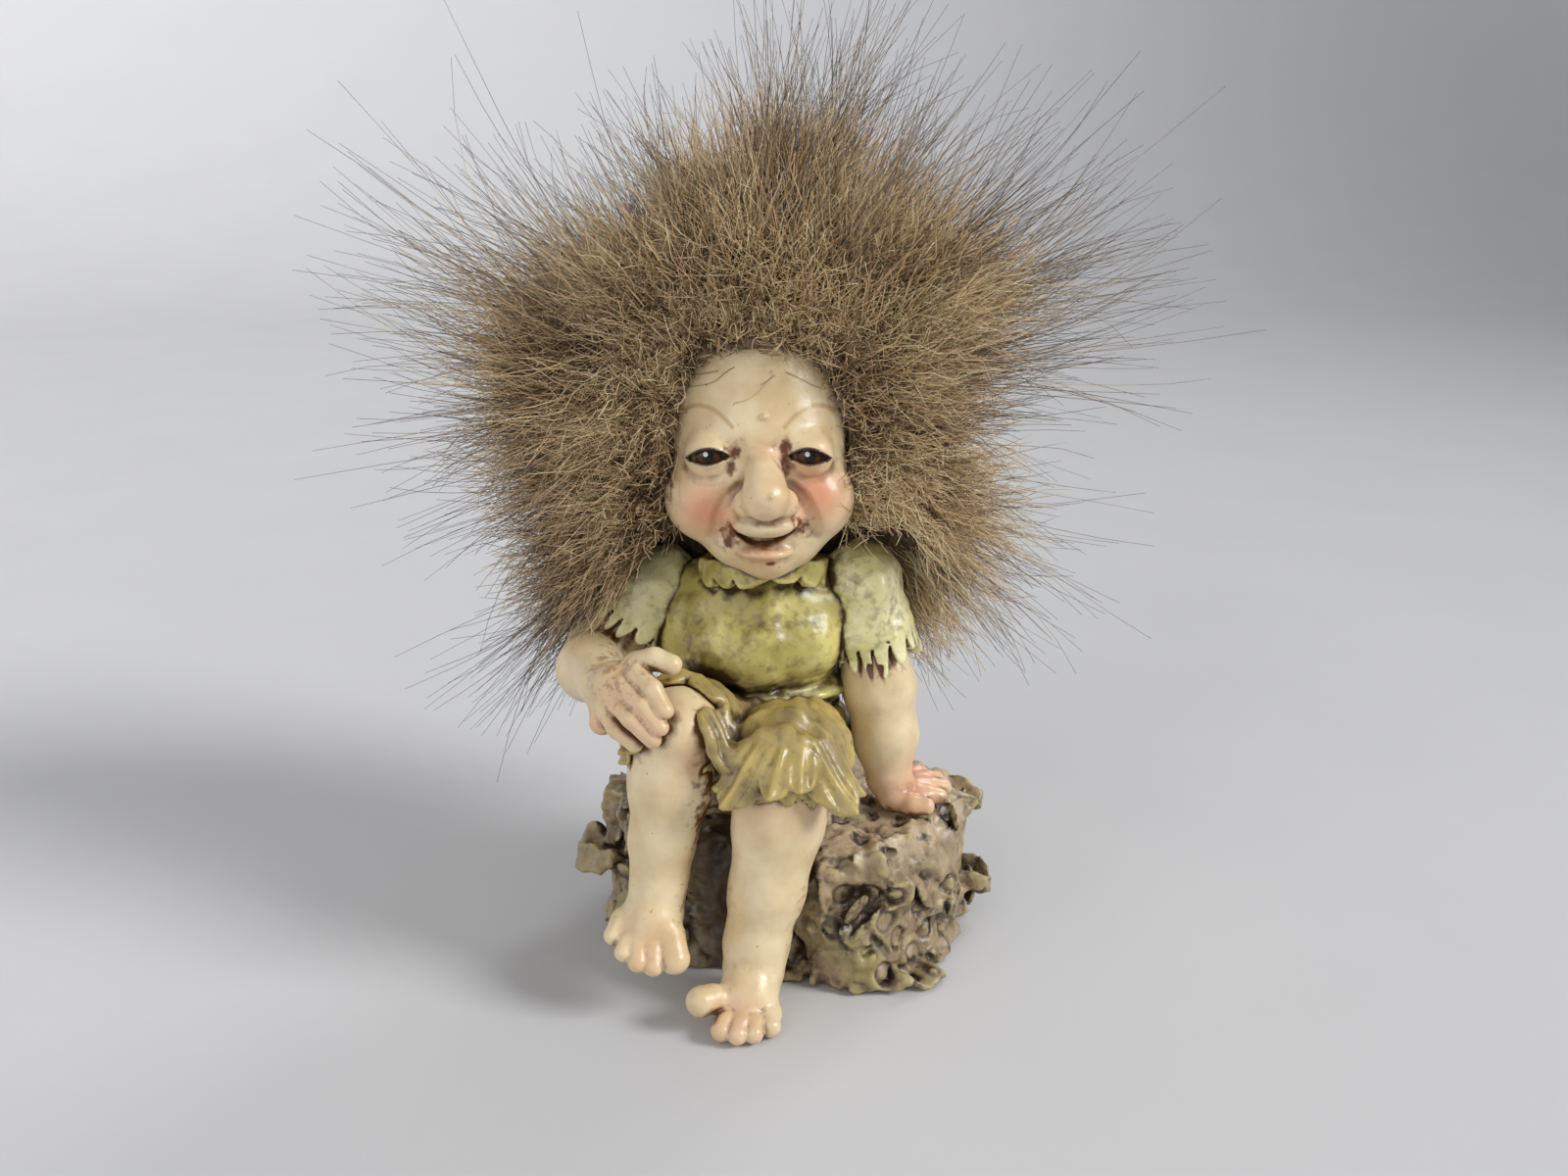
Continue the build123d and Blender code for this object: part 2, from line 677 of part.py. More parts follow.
os.makedirs("parts", exist_ok=True)
for node, piece in pieces.items():
    export_step(piece, f"parts/{node}.step")
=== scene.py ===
# Looks of a seated troll figure: sculpted, painted and varnished resin under a wig of long-pile fur.
# Shapes are worked out in millimetres on the frame's axes, and written to meshes in metres.
import itertools
import math

import bpy
import numpy as np
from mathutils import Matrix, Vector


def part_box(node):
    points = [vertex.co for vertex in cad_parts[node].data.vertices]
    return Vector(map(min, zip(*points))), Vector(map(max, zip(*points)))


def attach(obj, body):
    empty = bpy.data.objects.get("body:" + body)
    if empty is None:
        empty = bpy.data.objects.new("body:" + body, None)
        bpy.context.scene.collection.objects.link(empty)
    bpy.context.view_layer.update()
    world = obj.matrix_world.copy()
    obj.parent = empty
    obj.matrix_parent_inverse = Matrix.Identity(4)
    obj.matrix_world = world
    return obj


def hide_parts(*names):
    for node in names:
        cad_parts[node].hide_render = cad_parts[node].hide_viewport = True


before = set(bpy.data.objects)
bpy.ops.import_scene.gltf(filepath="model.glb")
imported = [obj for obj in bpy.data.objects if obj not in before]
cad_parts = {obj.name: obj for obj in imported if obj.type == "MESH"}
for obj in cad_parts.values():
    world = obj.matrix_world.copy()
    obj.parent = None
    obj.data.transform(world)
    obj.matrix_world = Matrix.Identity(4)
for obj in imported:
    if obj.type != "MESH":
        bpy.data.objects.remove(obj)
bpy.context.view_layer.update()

MM = 0.001
draw = np.random.default_rng(11)


def at(x, y, z):
    return np.array((x, y, z), float)


def clamp(values):
    return np.clip(values, 0, 1)


def unit(vectors):
    """Vectors of length 1 along the given ones."""
    return vectors / np.linalg.norm(vectors, axis=-1, keepdims=True)


def node_box(node):
    """Lowest and highest corner of a solid, in millimetres."""
    low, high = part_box(node)
    return np.array(low) / MM, np.array(high) / MM


# Skeleton of the figure, close to that of the solids
stump_top = 20.0
pelvis = at(-4.0, 2.0, 26.4)
neck = at(-4.0, 0.0, 53.0)
right_hip = at(-10.0, 1.0, 27.4)
left_hip = at(2.0, 1.0, 27.4)
right_knee = at(-14.0, -17.9, 36.6)
left_knee = at(-0.4, -19.9, 32.8)
right_ankle = at(-16.7, -20.0, 17.0)
left_ankle = at(-4.2, -22.0, 9.2)
right_shoulder = at(-17.6, 1.0, 49.6)
left_shoulder = at(9.6, 0.0, 50.4)
right_elbow = at(-26.0, 0.0, 40.3)
right_wrist = at(-23.8, -14.2, 41.4)
left_elbow = at(12.3, -1.2, 36.1)
left_wrist = at(13.6, -3.8, 24.6)
left_palm = at(16.4, -2.4, 21.2)
face_x = -3.8
eye_height = 70.4
eye_spread = 6.2
eye_depth = -11.2
eye_radius = 2.6


# Distance fields: each takes points and gives their distance outside a form, negative within it
def ball(p, centre, radius):
    return np.linalg.norm(p - centre, axis=1) - radius


def egg(p, centre, radii, turn=None):
    q = p - centre
    if turn is not None:
        q = q @ turn
    near = np.linalg.norm(q / radii, axis=1) + 1e-6
    slope = np.linalg.norm(q / np.square(radii), axis=1) + 1e-6
    return near * (near - 1) / slope


def cone(p, start, end, start_radius, end_radius):
    along = end - start
    share = clamp((p - start) @ along / (along @ along))
    gap = np.linalg.norm(p - start - share[:, None] * along, axis=1)
    return gap - start_radius - share * (end_radius - start_radius)


def join(soft, *fields):
    """What lies inside any of the fields, with seams rounded over a soft width."""
    whole = fields[0]
    for field in fields[1:]:
        mix = clamp(0.5 + 0.5 * (field - whole) / soft)
        whole = field + (whole - field) * mix - soft * mix * (1 - mix)
    return whole


def cut(whole, tool, soft):
    """A form less what lies inside a tool, with rounded edges."""
    return -join(soft, -whole, tool)


def common(*fields):
    """What lies inside every field, with sharp edges."""
    return np.max(fields, axis=0)


def limb(p, soft, *stations):
    """Round cones from station to station, each a point and its radius."""
    legs = zip(stations, stations[1:])
    return join(soft, *[cone(p, a, b, a_radius, b_radius) for (a, a_radius), (b, b_radius) in legs])


def spin(x=0.0, y=0.0, z=0.0):
    """Turn about the axes, in degrees, for an egg."""
    turn = np.eye(3)
    for axis, angle in enumerate((x, y, z)):
        c, s = math.cos(math.radians(angle)), math.sin(math.radians(angle))
        one = np.eye(3)
        u, v = (axis + 1) % 3, (axis + 2) % 3
        one[u, u], one[u, v], one[v, u], one[v, v] = c, -s, s, c
        turn = one @ turn
    return turn


lattice = draw.random(4096)


def noise(p, size, seed=0):
    """Smooth random values from -1 to 1 that change over a given size."""
    q = p / size + seed * 17.31
    cell = np.floor(q).astype(np.int64)
    share = q - cell
    share = share * share * (3 - 2 * share)
    total = np.zeros(len(p))
    for corner in itertools.product((0, 1), repeat=3):
        step = cell + corner
        key = step[:, 0] * 73856093 ^ step[:, 1] * 19349663 ^ step[:, 2] * 83492791
        total += np.prod(np.where(corner, share, 1 - share), axis=1) * lattice[key & 4095]
    return 2 * total - 1


def rough(p, size, seed=0, octaves=3):
    return sum(noise(p, size / 2**k, seed + k) / 2**k for k in range(octaves))


def spot(p, centre, radius):
    """1 at a centre, fading out softly over a radius."""
    return np.exp(-np.square(np.linalg.norm((p - centre) / radius, axis=1)))


def stroke(p, points, width):
    """1 on a brush line through the points as seen from the front, falling to 0 at its width."""
    flat = at(1, 0, 1)
    legs = zip(points, points[1:])
    gap = np.min([cone(p * flat, a * flat, b * flat, 0, 0) for a, b in legs], axis=0)
    return clamp(1.6 - 1.6 * gap / width)


# Meshes from fields
BLOCK = 8  # grid points along each side of a block
BATCH = 400  # blocks worked out at a time


def sample(field, low, high, cell):
    """Values of a field on a grid, worked out only in the blocks that its surface may cross."""
    span = cell * BLOCK
    blocks = np.ceil((high - low) / span).astype(int) + 1
    middles = low + (np.stack(np.meshgrid(*map(np.arange, blocks), indexing="ij"), -1) + 0.5) * span
    coarse = field(middles.reshape(-1, 3)).reshape(blocks)
    grid = np.kron(np.where(coarse > 0, 1.0, -1.0), np.ones((BLOCK,) * 3)).astype(np.float32)
    steps = np.stack(np.meshgrid(*[np.arange(BLOCK)] * 3, indexing="ij"), -1).reshape(-1, 3)
    busy = np.argwhere(np.abs(coarse) < span * 1.5)
    for batch in np.array_split(busy, max(1, len(busy) // BATCH)):
        index = (batch[:, None] * BLOCK + steps).reshape(-1, 3)
        grid[tuple(index.T)] = field(low + index * cell)
    return grid


def cell_points(grid, cells, corners):
    """Mean of the places where the surface crosses the edges of each cell, counted in cells."""
    total = np.zeros((len(cells), 3))
    hits = np.zeros(len(cells))
    for a, b in itertools.combinations(corners, 2):
        if np.abs(b - a).sum() != 1:
            continue
        start, end = grid[tuple((cells + a).T)], grid[tuple((cells + b).T)]
        split = (start < 0) != (end < 0)
        share = start[split] / (start[split] - end[split])
        total[split] += a + (b - a) * share[:, None]
        hits[split] += 1
    return cells + total / hits[:, None]


def edge_quads(inside, ids):
    """A quad round each grid edge that the surface crosses, facing outwards."""
    quads = []
    for axis in range(3):
        u, v = np.eye(3, dtype=int)[(axis + 1) % 3], np.eye(3, dtype=int)[(axis + 2) % 3]
        ahead = np.roll(inside, -1, axis)
        for first in (True, False):
            edges = np.argwhere((inside == first) & (ahead != first))
            edges = edges[(edges >= 1).all(1) & (edges < np.array(ids.shape)).all(1)]
            ring = [ids[tuple((edges - shift).T)] for shift in (0 * u, u, u + v, v)]
            quads.append(np.stack(ring if first else ring[::-1], 1))
    return np.concatenate(quads)


def surface_net(grid, low, cell):
    """Points and quads of the surface where the values on a grid change sign."""
    inside = grid < 0
    corners = np.array(list(itertools.product((0, 1), repeat=3)))
    nx, ny, nz = np.array(grid.shape) - 1
    counts = sum(inside[x:x + nx, y:y + ny, z:z + nz].astype(np.uint8) for x, y, z in corners)
    crossed = (counts > 0) & (counts < len(corners))
    cells = np.argwhere(crossed)
    ids = np.full(crossed.shape, -1)
    ids[crossed] = np.arange(len(cells))
    return low + cell_points(grid, cells, corners) * cell, edge_quads(inside, ids)


def corner_normals(points, quads):
    across = np.cross(points[quads[:, 2]] - points[quads[:, 0]], points[quads[:, 3]] - points[quads[:, 1]])
    normals = np.zeros_like(points)
    for corner in quads.T:
        np.add.at(normals, corner, across)
    return normals / (np.linalg.norm(normals, axis=1)[:, None] + 1e-9)


def mesh_piece(name, points, faces, material, slot, nodes, masks=None):
    """Mesh object with smooth faces and one number per vertex for each painted mask."""
    mesh = bpy.data.meshes.new(name)
    sides = faces.shape[1]
    mesh.vertices.add(len(points))
    mesh.vertices.foreach_set("co", (points * MM).astype(np.float32).ravel())
    mesh.loops.add(faces.size)
    mesh.loops.foreach_set("vertex_index", faces.astype(np.int32).ravel())
    mesh.polygons.add(len(faces))
    mesh.polygons.foreach_set("loop_start", np.arange(0, faces.size, sides, dtype=np.int32))
    mesh.polygons.foreach_set("use_smooth", np.ones(len(faces), bool))
    for mask, values in (masks or {}).items():
        layer = mesh.attributes.new(mask, "FLOAT", "POINT")
        layer.data.foreach_set("value", values.astype(np.float32))
    mesh.update(calc_edges=True)
    mesh.validate()
    piece = bpy.data.objects.new(name, mesh)
    bpy.context.collection.objects.link(piece)
    mesh.materials.append(material)
    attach(piece, "root")
    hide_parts(*nodes)


def hollows(points, normals, fields, reach):
    """How far a surface lies in a hollow or beside another piece, 0 to 1: where a brown wash settles, with
    painted shade there as well.
    """
    total = np.zeros(len(points))
    for step in (reach * 0.3, reach):
        probe = points + normals * step
        gap = np.min([field(probe) for field in fields], axis=0)
        total += np.clip(1 - gap / step, 0, 1.4)
    return clamp(total / 2)


def bulges(points, normals, quads, rounds=5):
    """How far a surface stands out, about 1 on a sharp edge: where a dry brush catches."""
    starts = np.concatenate([quads[:, side] for side in range(4)])
    ends = np.concatenate([quads[:, (side + 1) % 4] for side in range(4)])
    count = np.bincount(starts, minlength=len(points))
    around_mean = np.stack([np.bincount(starts, points[ends, axis], len(points)) for axis in range(3)], 1)
    value = np.einsum("ij,ij->i", points - around_mean / count[:, None], normals)
    for _ in range(rounds):
        value = (value + np.bincount(starts, value[ends], len(points)) / count) / 2
    return clamp(value / (3 * value.std()))


def sculpture(node, field, low, high, cell, coat, neighbours=(), paint=None, reach=1.6, name=None):
    """Piece meshed from a field between two corners, with its wash and painted shade, ridges and own paint
    as masks.
    """
    low, high = np.array(low, float), np.array(high, float)
    points, quads = surface_net(sample(field, low, high, cell), low, cell)
    normals = corner_normals(points, quads)
    masks = {
        "wash_and_shade": hollows(points, normals, (field, *neighbours), reach),
        "ridge": bulges(points, normals, quads),
    }
    if paint:
        masks.update(paint(points))
    mesh_piece(name or f"{node}_cast", points, quads, *coat, [node], masks)


# Stump
stump_radii = np.array((25.4, 20.9))
wall_scale = 22.0  # millimetres to one share of the radii
ring_groove = 0.28  # half width of the groove round a ring mark
ring_depth = 5.0  # how far from the wall a ring mark reaches
leg_room = 0.6  # gap between the bark and the shins
stump_foot = 0.3  # height of the underside
bay_turn, bay_spread, bay_depth = math.radians(-108), math.radians(32), 0.27
ledges = (  # middle, half sizes, tilt
    (at(-25.4, 1.0, 11.0), at(6.0, 6.2, 2.4), spin(y=-10)),
    (at(23.6, 8.0, 15.8), at(5.2, 5.8, 1.8), spin(y=16)),
    (at(25.0, 2.6, 6.0), at(5.2, 4.6, 2.4), spin(y=10)),
    (at(13.6, 17.0, 16.2), at(5.4, 5.0, 2.2), spin(x=16)),
    (at(13.0, -16.4, 1.6), at(8.6, 4.8, 1.7), spin(y=6)),
    (at(-15.0, 16.0, 11.6), at(6.8, 5.4, 1.9), spin(x=14)),
    (at(6.0, 18.6, 5.0), at(8.0, 3.6, 1.8), spin(x=-10)),
    (at(-22.6, -6.0, 3.4), at(4.2, 5.6, 1.8), spin(y=8)),
)
ring_marks = (  # turn round the stump, height and radius
    (-72, 13.4, 1.5), (-64, 13.0, 1.5), (-57, 13.2, 1.1), (-60, 9.6, 1.4), (-55, 6.4, 1.3), (-76, 9.0, 1.2),
    (-40, 5.6, 1.4), (-44, 9.4, 1.1), (-47, 2.8, 1.2), (-62, 2.6, 1.2), (-28, 10.6, 1.2), (-22, 5.0, 1.3),
)
pit_count = 26
pit_turns = draw.uniform(-180, 180, pit_count)
pit_heights = draw.uniform(1, 19, pit_count)
pit_sizes = draw.uniform(0.3, 0.7, pit_count)
shard_count = 90
shard_turns = draw.uniform(-180, 180, shard_count)
shard_heights = draw.uniform(0.5, 18.5, shard_count)
shard_leans = draw.uniform(-75, 75, shard_count)
shard_lengths = draw.uniform(1.6, 3.4, shard_count)


def wall_share(angle, height):
    """Share of stump_radii where the bark stands: lobed, wider at the foot, with a bay for the calves."""
    lobes = 0.035 * np.sin(5 * angle + 0.8) + 0.03 * np.sin(9 * angle - 0.6 + height * 0.08)
    flare = 0.05 * np.square(clamp(1 - height / 9))
    off_bay = (angle - bay_turn + math.pi) % (2 * math.pi) - math.pi
    return 0.97 + lobes + flare - bay_depth * np.exp(-np.square(off_bay / bay_spread))


def stump_wall(p):
    q = p[:, :2] / stump_radii
    angle = np.arctan2(q[:, 1], q[:, 0])
    return (np.linalg.norm(q, axis=1) - wall_share(angle, p[:, 2])) * wall_scale


def on_wall(turn, height):
    """Point on the bark and the direction straight out from it."""
    angle = math.radians(turn)
    out = at(math.cos(angle), math.sin(angle), 0)
    place = out * wall_share(angle, height) * at(*stump_radii, 0) + at(0, 0, height)
    return place, unit(out / at(*stump_radii, 1))


def ring_distance(p, turn, height):
    """Distance from the axis of a ring mark, and depth along that axis."""
    place, out = on_wall(turn, height)
    offset = p - place
    depth = offset @ out
    return np.linalg.norm(offset - depth[:, None] * out, axis=1), depth


def ring_bed(whole, ring, radius):
    """Bark with a ring pressed into it: a narrow groove with a raised rim outside it."""
    groove = 0.6 * np.exp(-np.square((ring - radius) / ring_groove))
    rim = 0.22 * np.exp(-np.square((ring - radius - 0.6) / 0.3))
    return whole + groove - rim


def bark_shard(p, place, out, lean, length):
    """Flake of bark with one edge lifted off the wall, its long side leaning from upright."""
    tilt = math.radians(lean)
    along = math.cos(tilt) * at(0, 0, 1) + math.sin(tilt) * np.cross(at(0, 0, 1), out)
    lifted = 0.84 * np.cross(out, along) + 0.54 * out
    thin = np.cross(along, lifted)
    return egg(p, place + out * 0.1, at(length, 1.5, 0.5), np.stack((along, lifted, thin), 1))


def stump_body(p):
    """Craggy wall and top, with curled ledges and folded bark."""
    sway = p + np.stack((noise(p, 7, 3), noise(p, 7, 4), noise(p, 7, 5)), 1) * 0.9
    crags = 1 - 2 * np.abs(rough(sway, 6.5, 1, 2))
    wall = stump_wall(p) + rough(sway * (1, 1, 0.7), 5.5, 14) * 1.5 - 1.1 * crags
    top = p[:, 2] - stump_top + 0.3 + 0.35 * rough(p, 5, 2)
    whole = cut(wall, -top, 1.6)
    ruffle = sway + at(0, 0, 1) * (0.7 * np.sin(p[:, :1] * 0.9 + p[:, 1:2] * 1.1))
    for middle, radii, turn in ledges:
        shelf = egg(ruffle, middle, radii, turn)
        hollow = egg(ruffle, middle + at(0, 0, radii[2] * 1.2), radii * at(0.7, 0.7, 1.0), turn)
        whole = join(1.1, whole, cut(shelf, hollow, 0.5))
    flakes = np.abs(noise(sway * (1, 1, 1.6), 2.4, 6))
    folds = np.abs(noise(sway * (1, 1, 0.55), 3.6, 7))
    return whole + 0.42 * rough(p, 1.8, 9, 2) + 0.6 * flakes + 0.9 * folds


def stump_field(p):
    whole = stump_body(p)
    for turn, height, radius in ring_marks:
        ring, depth = ring_distance(p, turn, height)
        bed = ring_bed(whole, ring, radius)
        whole = np.where((ring < radius + 1.2) & (np.abs(depth) < ring_depth), bed, whole)
    for turn, height, lean, length in zip(shard_turns, shard_heights, shard_leans, shard_lengths):
        place, out = on_wall(turn, height)
        near = np.square(p - place).sum(1) < 30
        whole[near] = join(0.3, whole[near], bark_shard(p[near], place, out, lean, length))
    for turn, height, size in zip(pit_turns, pit_heights, pit_sizes):
        whole = cut(whole, ball(p, on_wall(turn, height)[0], size), 0.4)
    legs = join(1.0, right_leg_form(p) - leg_room, left_leg_form(p) - leg_room)
    return cut(cut(whole, legs, 1.0), p[:, 2] - stump_foot, 0.2)


def stump_paint(p):
    lip = clamp(stump_wall(p) / 4.0)
    moss = clamp(0.5 * noise(p, 6, 21) + 0.3 * noise(p, 2.5, 22) + 0.1 + 0.5 * lip)
    tan = clamp((p[:, 2] - 14.0) / 5 + 0.5 * noise(p, 6, 23)) * (p[:, 0] > -12)
    shade = clamp(1.2 - np.abs(p[:, 0] + 8) / 7) * (p[:, 1] < -6)
    pressed = np.zeros(len(p))
    for turn, height, radius in ring_marks:
        ring, depth = ring_distance(p, turn, height)
        mark = clamp(1.4 - np.abs(ring - radius) / ring_groove) * (np.abs(depth) < ring_depth)
        pressed = np.maximum(pressed, mark)
    return {"moss": moss, "tan": tan, "shade": shade, "pressed": pressed}


# Legs and feet
right_shin = (  # point and radius, from the knee down
    (right_knee, 5.5), (at(-15.0, -18.2, 29.5), 5.3), (at(-16.2, -19.4, 22.0), 4.1),
    (right_ankle, 3.5), (at(-17.2, -21.4, 13.4), 3.6),
)
left_shin = (
    (left_knee, 5.9), (at(-1.4, -20.4, 25.0), 5.6), (at(-2.9, -21.4, 16.0), 4.7),
    (left_ankle, 4.0), (at(-4.6, -22.6, 5.6), 4.0),
)


def right_leg_form(p):
    return limb(p, 1.6, *right_shin)


def left_leg_form(p):
    return limb(p, 1.6, *left_shin)


def foot_form(p, heel, instep, toes):
    """Heel and sole under the ankle, with a row of toes, each a root, a tip and its radius."""
    rays = ((toes[0][0], 2.8, 1.9), (toes[2][0], 3.0, 1.7), (toes[4][0], 2.6, 1.6))
    sole = join(1.4, cone(p, heel, instep, 3.2, 3.0), *[cone(p, instep, *ray) for ray in rays])
    row = []
    for root, tip, radius in toes:
        bend = (root + tip) / 2 + at(0, 0, 0.35)
        row.append(limb(p, 0.5, (root, radius), (bend, radius * 0.88), (tip, radius)))
    return join(0.55, sole, join(0.18, *row))


right_toes = (  # root, tip and radius, from the big toe outwards
    (at(-15.2, -24.2, 11.0), at(-14.5, -26.2, 8.9), 2.0),
    (at(-17.2, -25.0, 10.6), at(-17.0, -27.2, 8.6), 1.35),
    (at(-18.8, -24.8, 10.8), at(-19.0, -27.0, 9.0), 1.3),
    (at(-20.2, -24.0, 11.4), at(-20.8, -26.0, 9.8), 1.25),
    (at(-21.2, -22.8, 12.4), at(-22.2, -24.4, 11.2), 1.3),
)
left_toes = (
    (at(-8.4, -27.0, 3.4), at(-11.0, -28.6, 4.3), 2.0),
    (at(-7.6, -28.8, 2.2), at(-8.5, -31.0, 1.7), 1.4),
    (at(-5.9, -29.2, 2.1), at(-6.5, -31.6, 1.6), 1.35),
    (at(-4.2, -28.8, 2.0), at(-4.5, -31.2, 1.5), 1.3),
    (at(-2.6, -27.6, 2.0), at(-2.4, -29.8, 1.5), 1.35),
)


def skin_relief(p):
    """Slight hand-worked unevenness of the cast skin."""
    return 0.09 * noise(p, 3.2, 31) + 0.035 * noise(p, 1.1, 32)


def right_leg_field(p):
    foot = foot_form(p, at(-17.0, -20.6, 12.8), at(-17.6, -22.8, 12.0), right_toes)
    kneecap = egg(p, right_knee + at(0.6, -3.4, 0.6), at(3.4, 2.6, 3.2))
    return join(1.2, right_leg_form(p), foot, kneecap) + skin_relief(p)


def left_leg_field(p):
    foot = foot_form(p, at(-4.2, -21.0, 3.9), at(-5.0, -25.4, 4.0), left_toes)
    whole = join(1.2, left_leg_form(p), foot) + skin_relief(p)
    return cut(whole, p[:, 2] - 0.25, 0.15)


# Arms and hands
right_fingers = (  # knuckle, middle joint and tip
    (at(-18.6, -20.4, 45.0), at(-16.6, -22.8, 43.8), at(-15.0, -24.2, 41.6)),
    (at(-20.3, -20.6, 43.4), at(-17.8, -23.2, 42.0), at(-15.6, -24.6, 39.6)),
    (at(-21.6, -20.4, 41.5), at(-19.2, -23.2, 40.2), at(-16.6, -24.4, 38.0)),
    (at(-22.6, -19.4, 39.6), at(-21.2, -21.6, 38.2), at(-19.0, -22.8, 36.8)),
)
left_fingers = (
    (at(17.0, -4.2, 21.2), at(19.0, -4.0, 21.0), at(20.8, -3.4, 20.6)),
    (at(17.8, -2.2, 21.4), at(19.8, -1.4, 21.2), at(21.6, -0.6, 20.7)),
    (at(17.8, -0.4, 21.4), at(19.4, 0.8, 21.3), at(20.8, 2.0, 20.8)),
    (at(17.0, 0.8, 21.6), at(18.0, 2.2, 21.6), at(18.8, 3.6, 21.0)),
)
right_thumb = ((at(-19.0, -18.2, 45.4), 1.6), (at(-16.6, -19.6, 46.6), 1.4), (at(-14.4, -20.6, 46.2), 1.3))
left_thumb = ((at(14.6, -5.6, 21.4), 1.5), (at(16.6, -7.0, 21.0), 1.3), (at(18.6, -7.2, 20.9), 1.15))
right_arm_line = (
    (right_shoulder, 4.2), (right_elbow, 4.3), (at(-26.2, -7.0, 40.8), 4.1), (right_wrist, 3.1),
)
left_arm_line = (
    (left_shoulder, 4.4), (left_elbow, 4.7), (at(13.2, -2.6, 29.4), 4.2), (left_wrist, 3.2),
)


def fingers(p, rows, radius):
    """Fingers side by side, each thinner from joint to joint."""
    row = []
    for knuckle, middle, tip in rows:
        row.append(limb(p, 0.4, (knuckle, radius * 1.08), (middle, radius * 0.95), (tip, radius * 0.88)))
    return join(0.25, *row)


def right_arm_field(p):
    palm = egg(p, at(-21.2, -18.0, 42.0), at(3.9, 3.4, 3.6), spin(z=-30))
    heel = cone(p, at(-23.0, -16.6, 39.6), at(-23.6, -17.4, 37.4), 2.2, 1.7)
    digits = join(0.3, fingers(p, right_fingers, 1.3), limb(p, 0.5, *right_thumb))
    hand = join(0.9, join(1.4, palm, heel), digits)
    return join(1.6, limb(p, 2.0, *right_arm_line), hand) + skin_relief(p)


def left_arm_field(p):
    palm = egg(p, left_palm, at(4.0, 3.9, 1.9), spin(y=8))
    heel = cone(p, left_wrist + at(0.3, -0.2, -2.0), at(14.0, -5.4, 21.4), 2.8, 1.8)
    digits = join(0.3, fingers(p, left_fingers, 1.25), limb(p, 0.5, *left_thumb))
    hand = join(1.0, join(1.6, palm, heel), digits)
    return join(1.6, limb(p, 2.0, *left_arm_line), hand) + skin_relief(p)


# Clothes
def around(p, start, end):
    """Distance along an axis and the angle round it, for hems."""
    axis = unit(end - start)
    side = unit(np.cross(axis, at(0, 1, 0.15)))
    offset = p - start
    return offset @ axis, np.arctan2(offset @ np.cross(axis, side), offset @ side)


def tatters(angle, count, seed):
    """Torn hem: pointed flaps of uneven length round an angle, from 0 in a notch to 1 at a point."""
    wobble = angle * count / 2 + 0.5 * np.sin(2 * angle + seed) + 0.3 * np.sin(5 * angle + 2 * seed)
    uneven = 0.75 + 0.25 * np.sin(3 * angle + 1.7 * seed)
    return np.abs(np.sin(wobble)) ** 0.7 * uneven


def cloth_folds(p, size, seed):
    creases = np.abs(noise(p, size * 0.8, seed + 3))
    small = 0.24 * noise(p, size * 0.4, seed + 1) + 0.07 * noise(p, 0.9, seed + 2)
    return 0.5 * noise(p, size, seed) - 0.35 * creases + small


def leaf(p, root, tip, half_width, out):
    """Torn flap of cloth: a thin leaf from root to tip that flares outwards, with a crease along it."""
    along = unit(tip - root)
    out = unit(out - along * (out @ along))
    offset = p - (root + tip) / 2
    length = np.linalg.norm(tip - root) / 2
    share = offset @ along / length
    across = offset @ np.cross(along, out)
    taper = np.sqrt(np.clip(1 - np.square(np.clip(share, -1, 1)), 0.02, 1)) * (1 - 0.25 * share)
    flare = 0.9 * share * np.abs(share)
    crease = 0.3 * np.cos(3.2 * across) * (np.abs(across) < 1.6)
    bow = offset @ out - flare + 0.10 * np.square(across) - crease + 0.5 * noise(p, 3.0, 46)
    torn = np.abs(across) - half_width * taper - 0.3 * noise(p, 1.4, 47)
    edge = np.maximum(torn, (np.abs(share) - 1) * length)
    return np.hypot(np.clip(edge + 0.4, 0, None), bow) - 0.58


left_leaves = (  # root, tip, half width, outward side
    (at(-3.4, -24.4, 37.8), at(-7.8, -26.4, 29.6), 3.2, at(-0.5, -0.9, 0.3)),
    (at(-0.8, -25.6, 37.4), at(-2.4, -28.0, 31.6), 2.6, at(-0.2, -1, 0.3)),
    (at(1.4, -25.6, 37.2), at(1.2, -28.0, 32.4), 2.2, at(0.1, -1, 0.3)),
    (at(2.8, -24.6, 37.8), at(7.2, -26.2, 28.8), 3.2, at(0.6, -0.8, 0.3)),
    (at(5.2, -20.8, 36.6), at(8.2, -21.0, 28.6), 2.8, at(1, -0.2, 0.1)),
    (at(-5.6, -21.0, 36.0), at(-8.4, -21.4, 29.6), 2.7, at(-1, -0.3, 0.1)),
)
right_leaves = (
    (at(-9.6, -21.4, 41.0), at(-7.4, -24.0, 33.2), 2.4, at(0.9, -0.6, 0.1)),
    (at(-8.6, -18.6, 39.4), at(-6.8, -21.4, 30.0), 2.6, at(1, -0.3, 0.1)),
    (at(-8.2, -15.6, 37.4), at(-7.0, -17.4, 28.6), 2.6, at(1, 0, 0.1)),
    (at(-19.4, -16.6, 37.4), at(-20.6, -17.6, 31.6), 2.4, at(-1, -0.2, 0.1)),
    (at(-19.0, -19.6, 39.6), at(-20.0, -21.4, 34.6), 2.0, at(-0.8, -0.6, 0.2)),
)
left_knee_fold = at(1.3, -24.0, 37.1)  # thick cloth where two flaps start


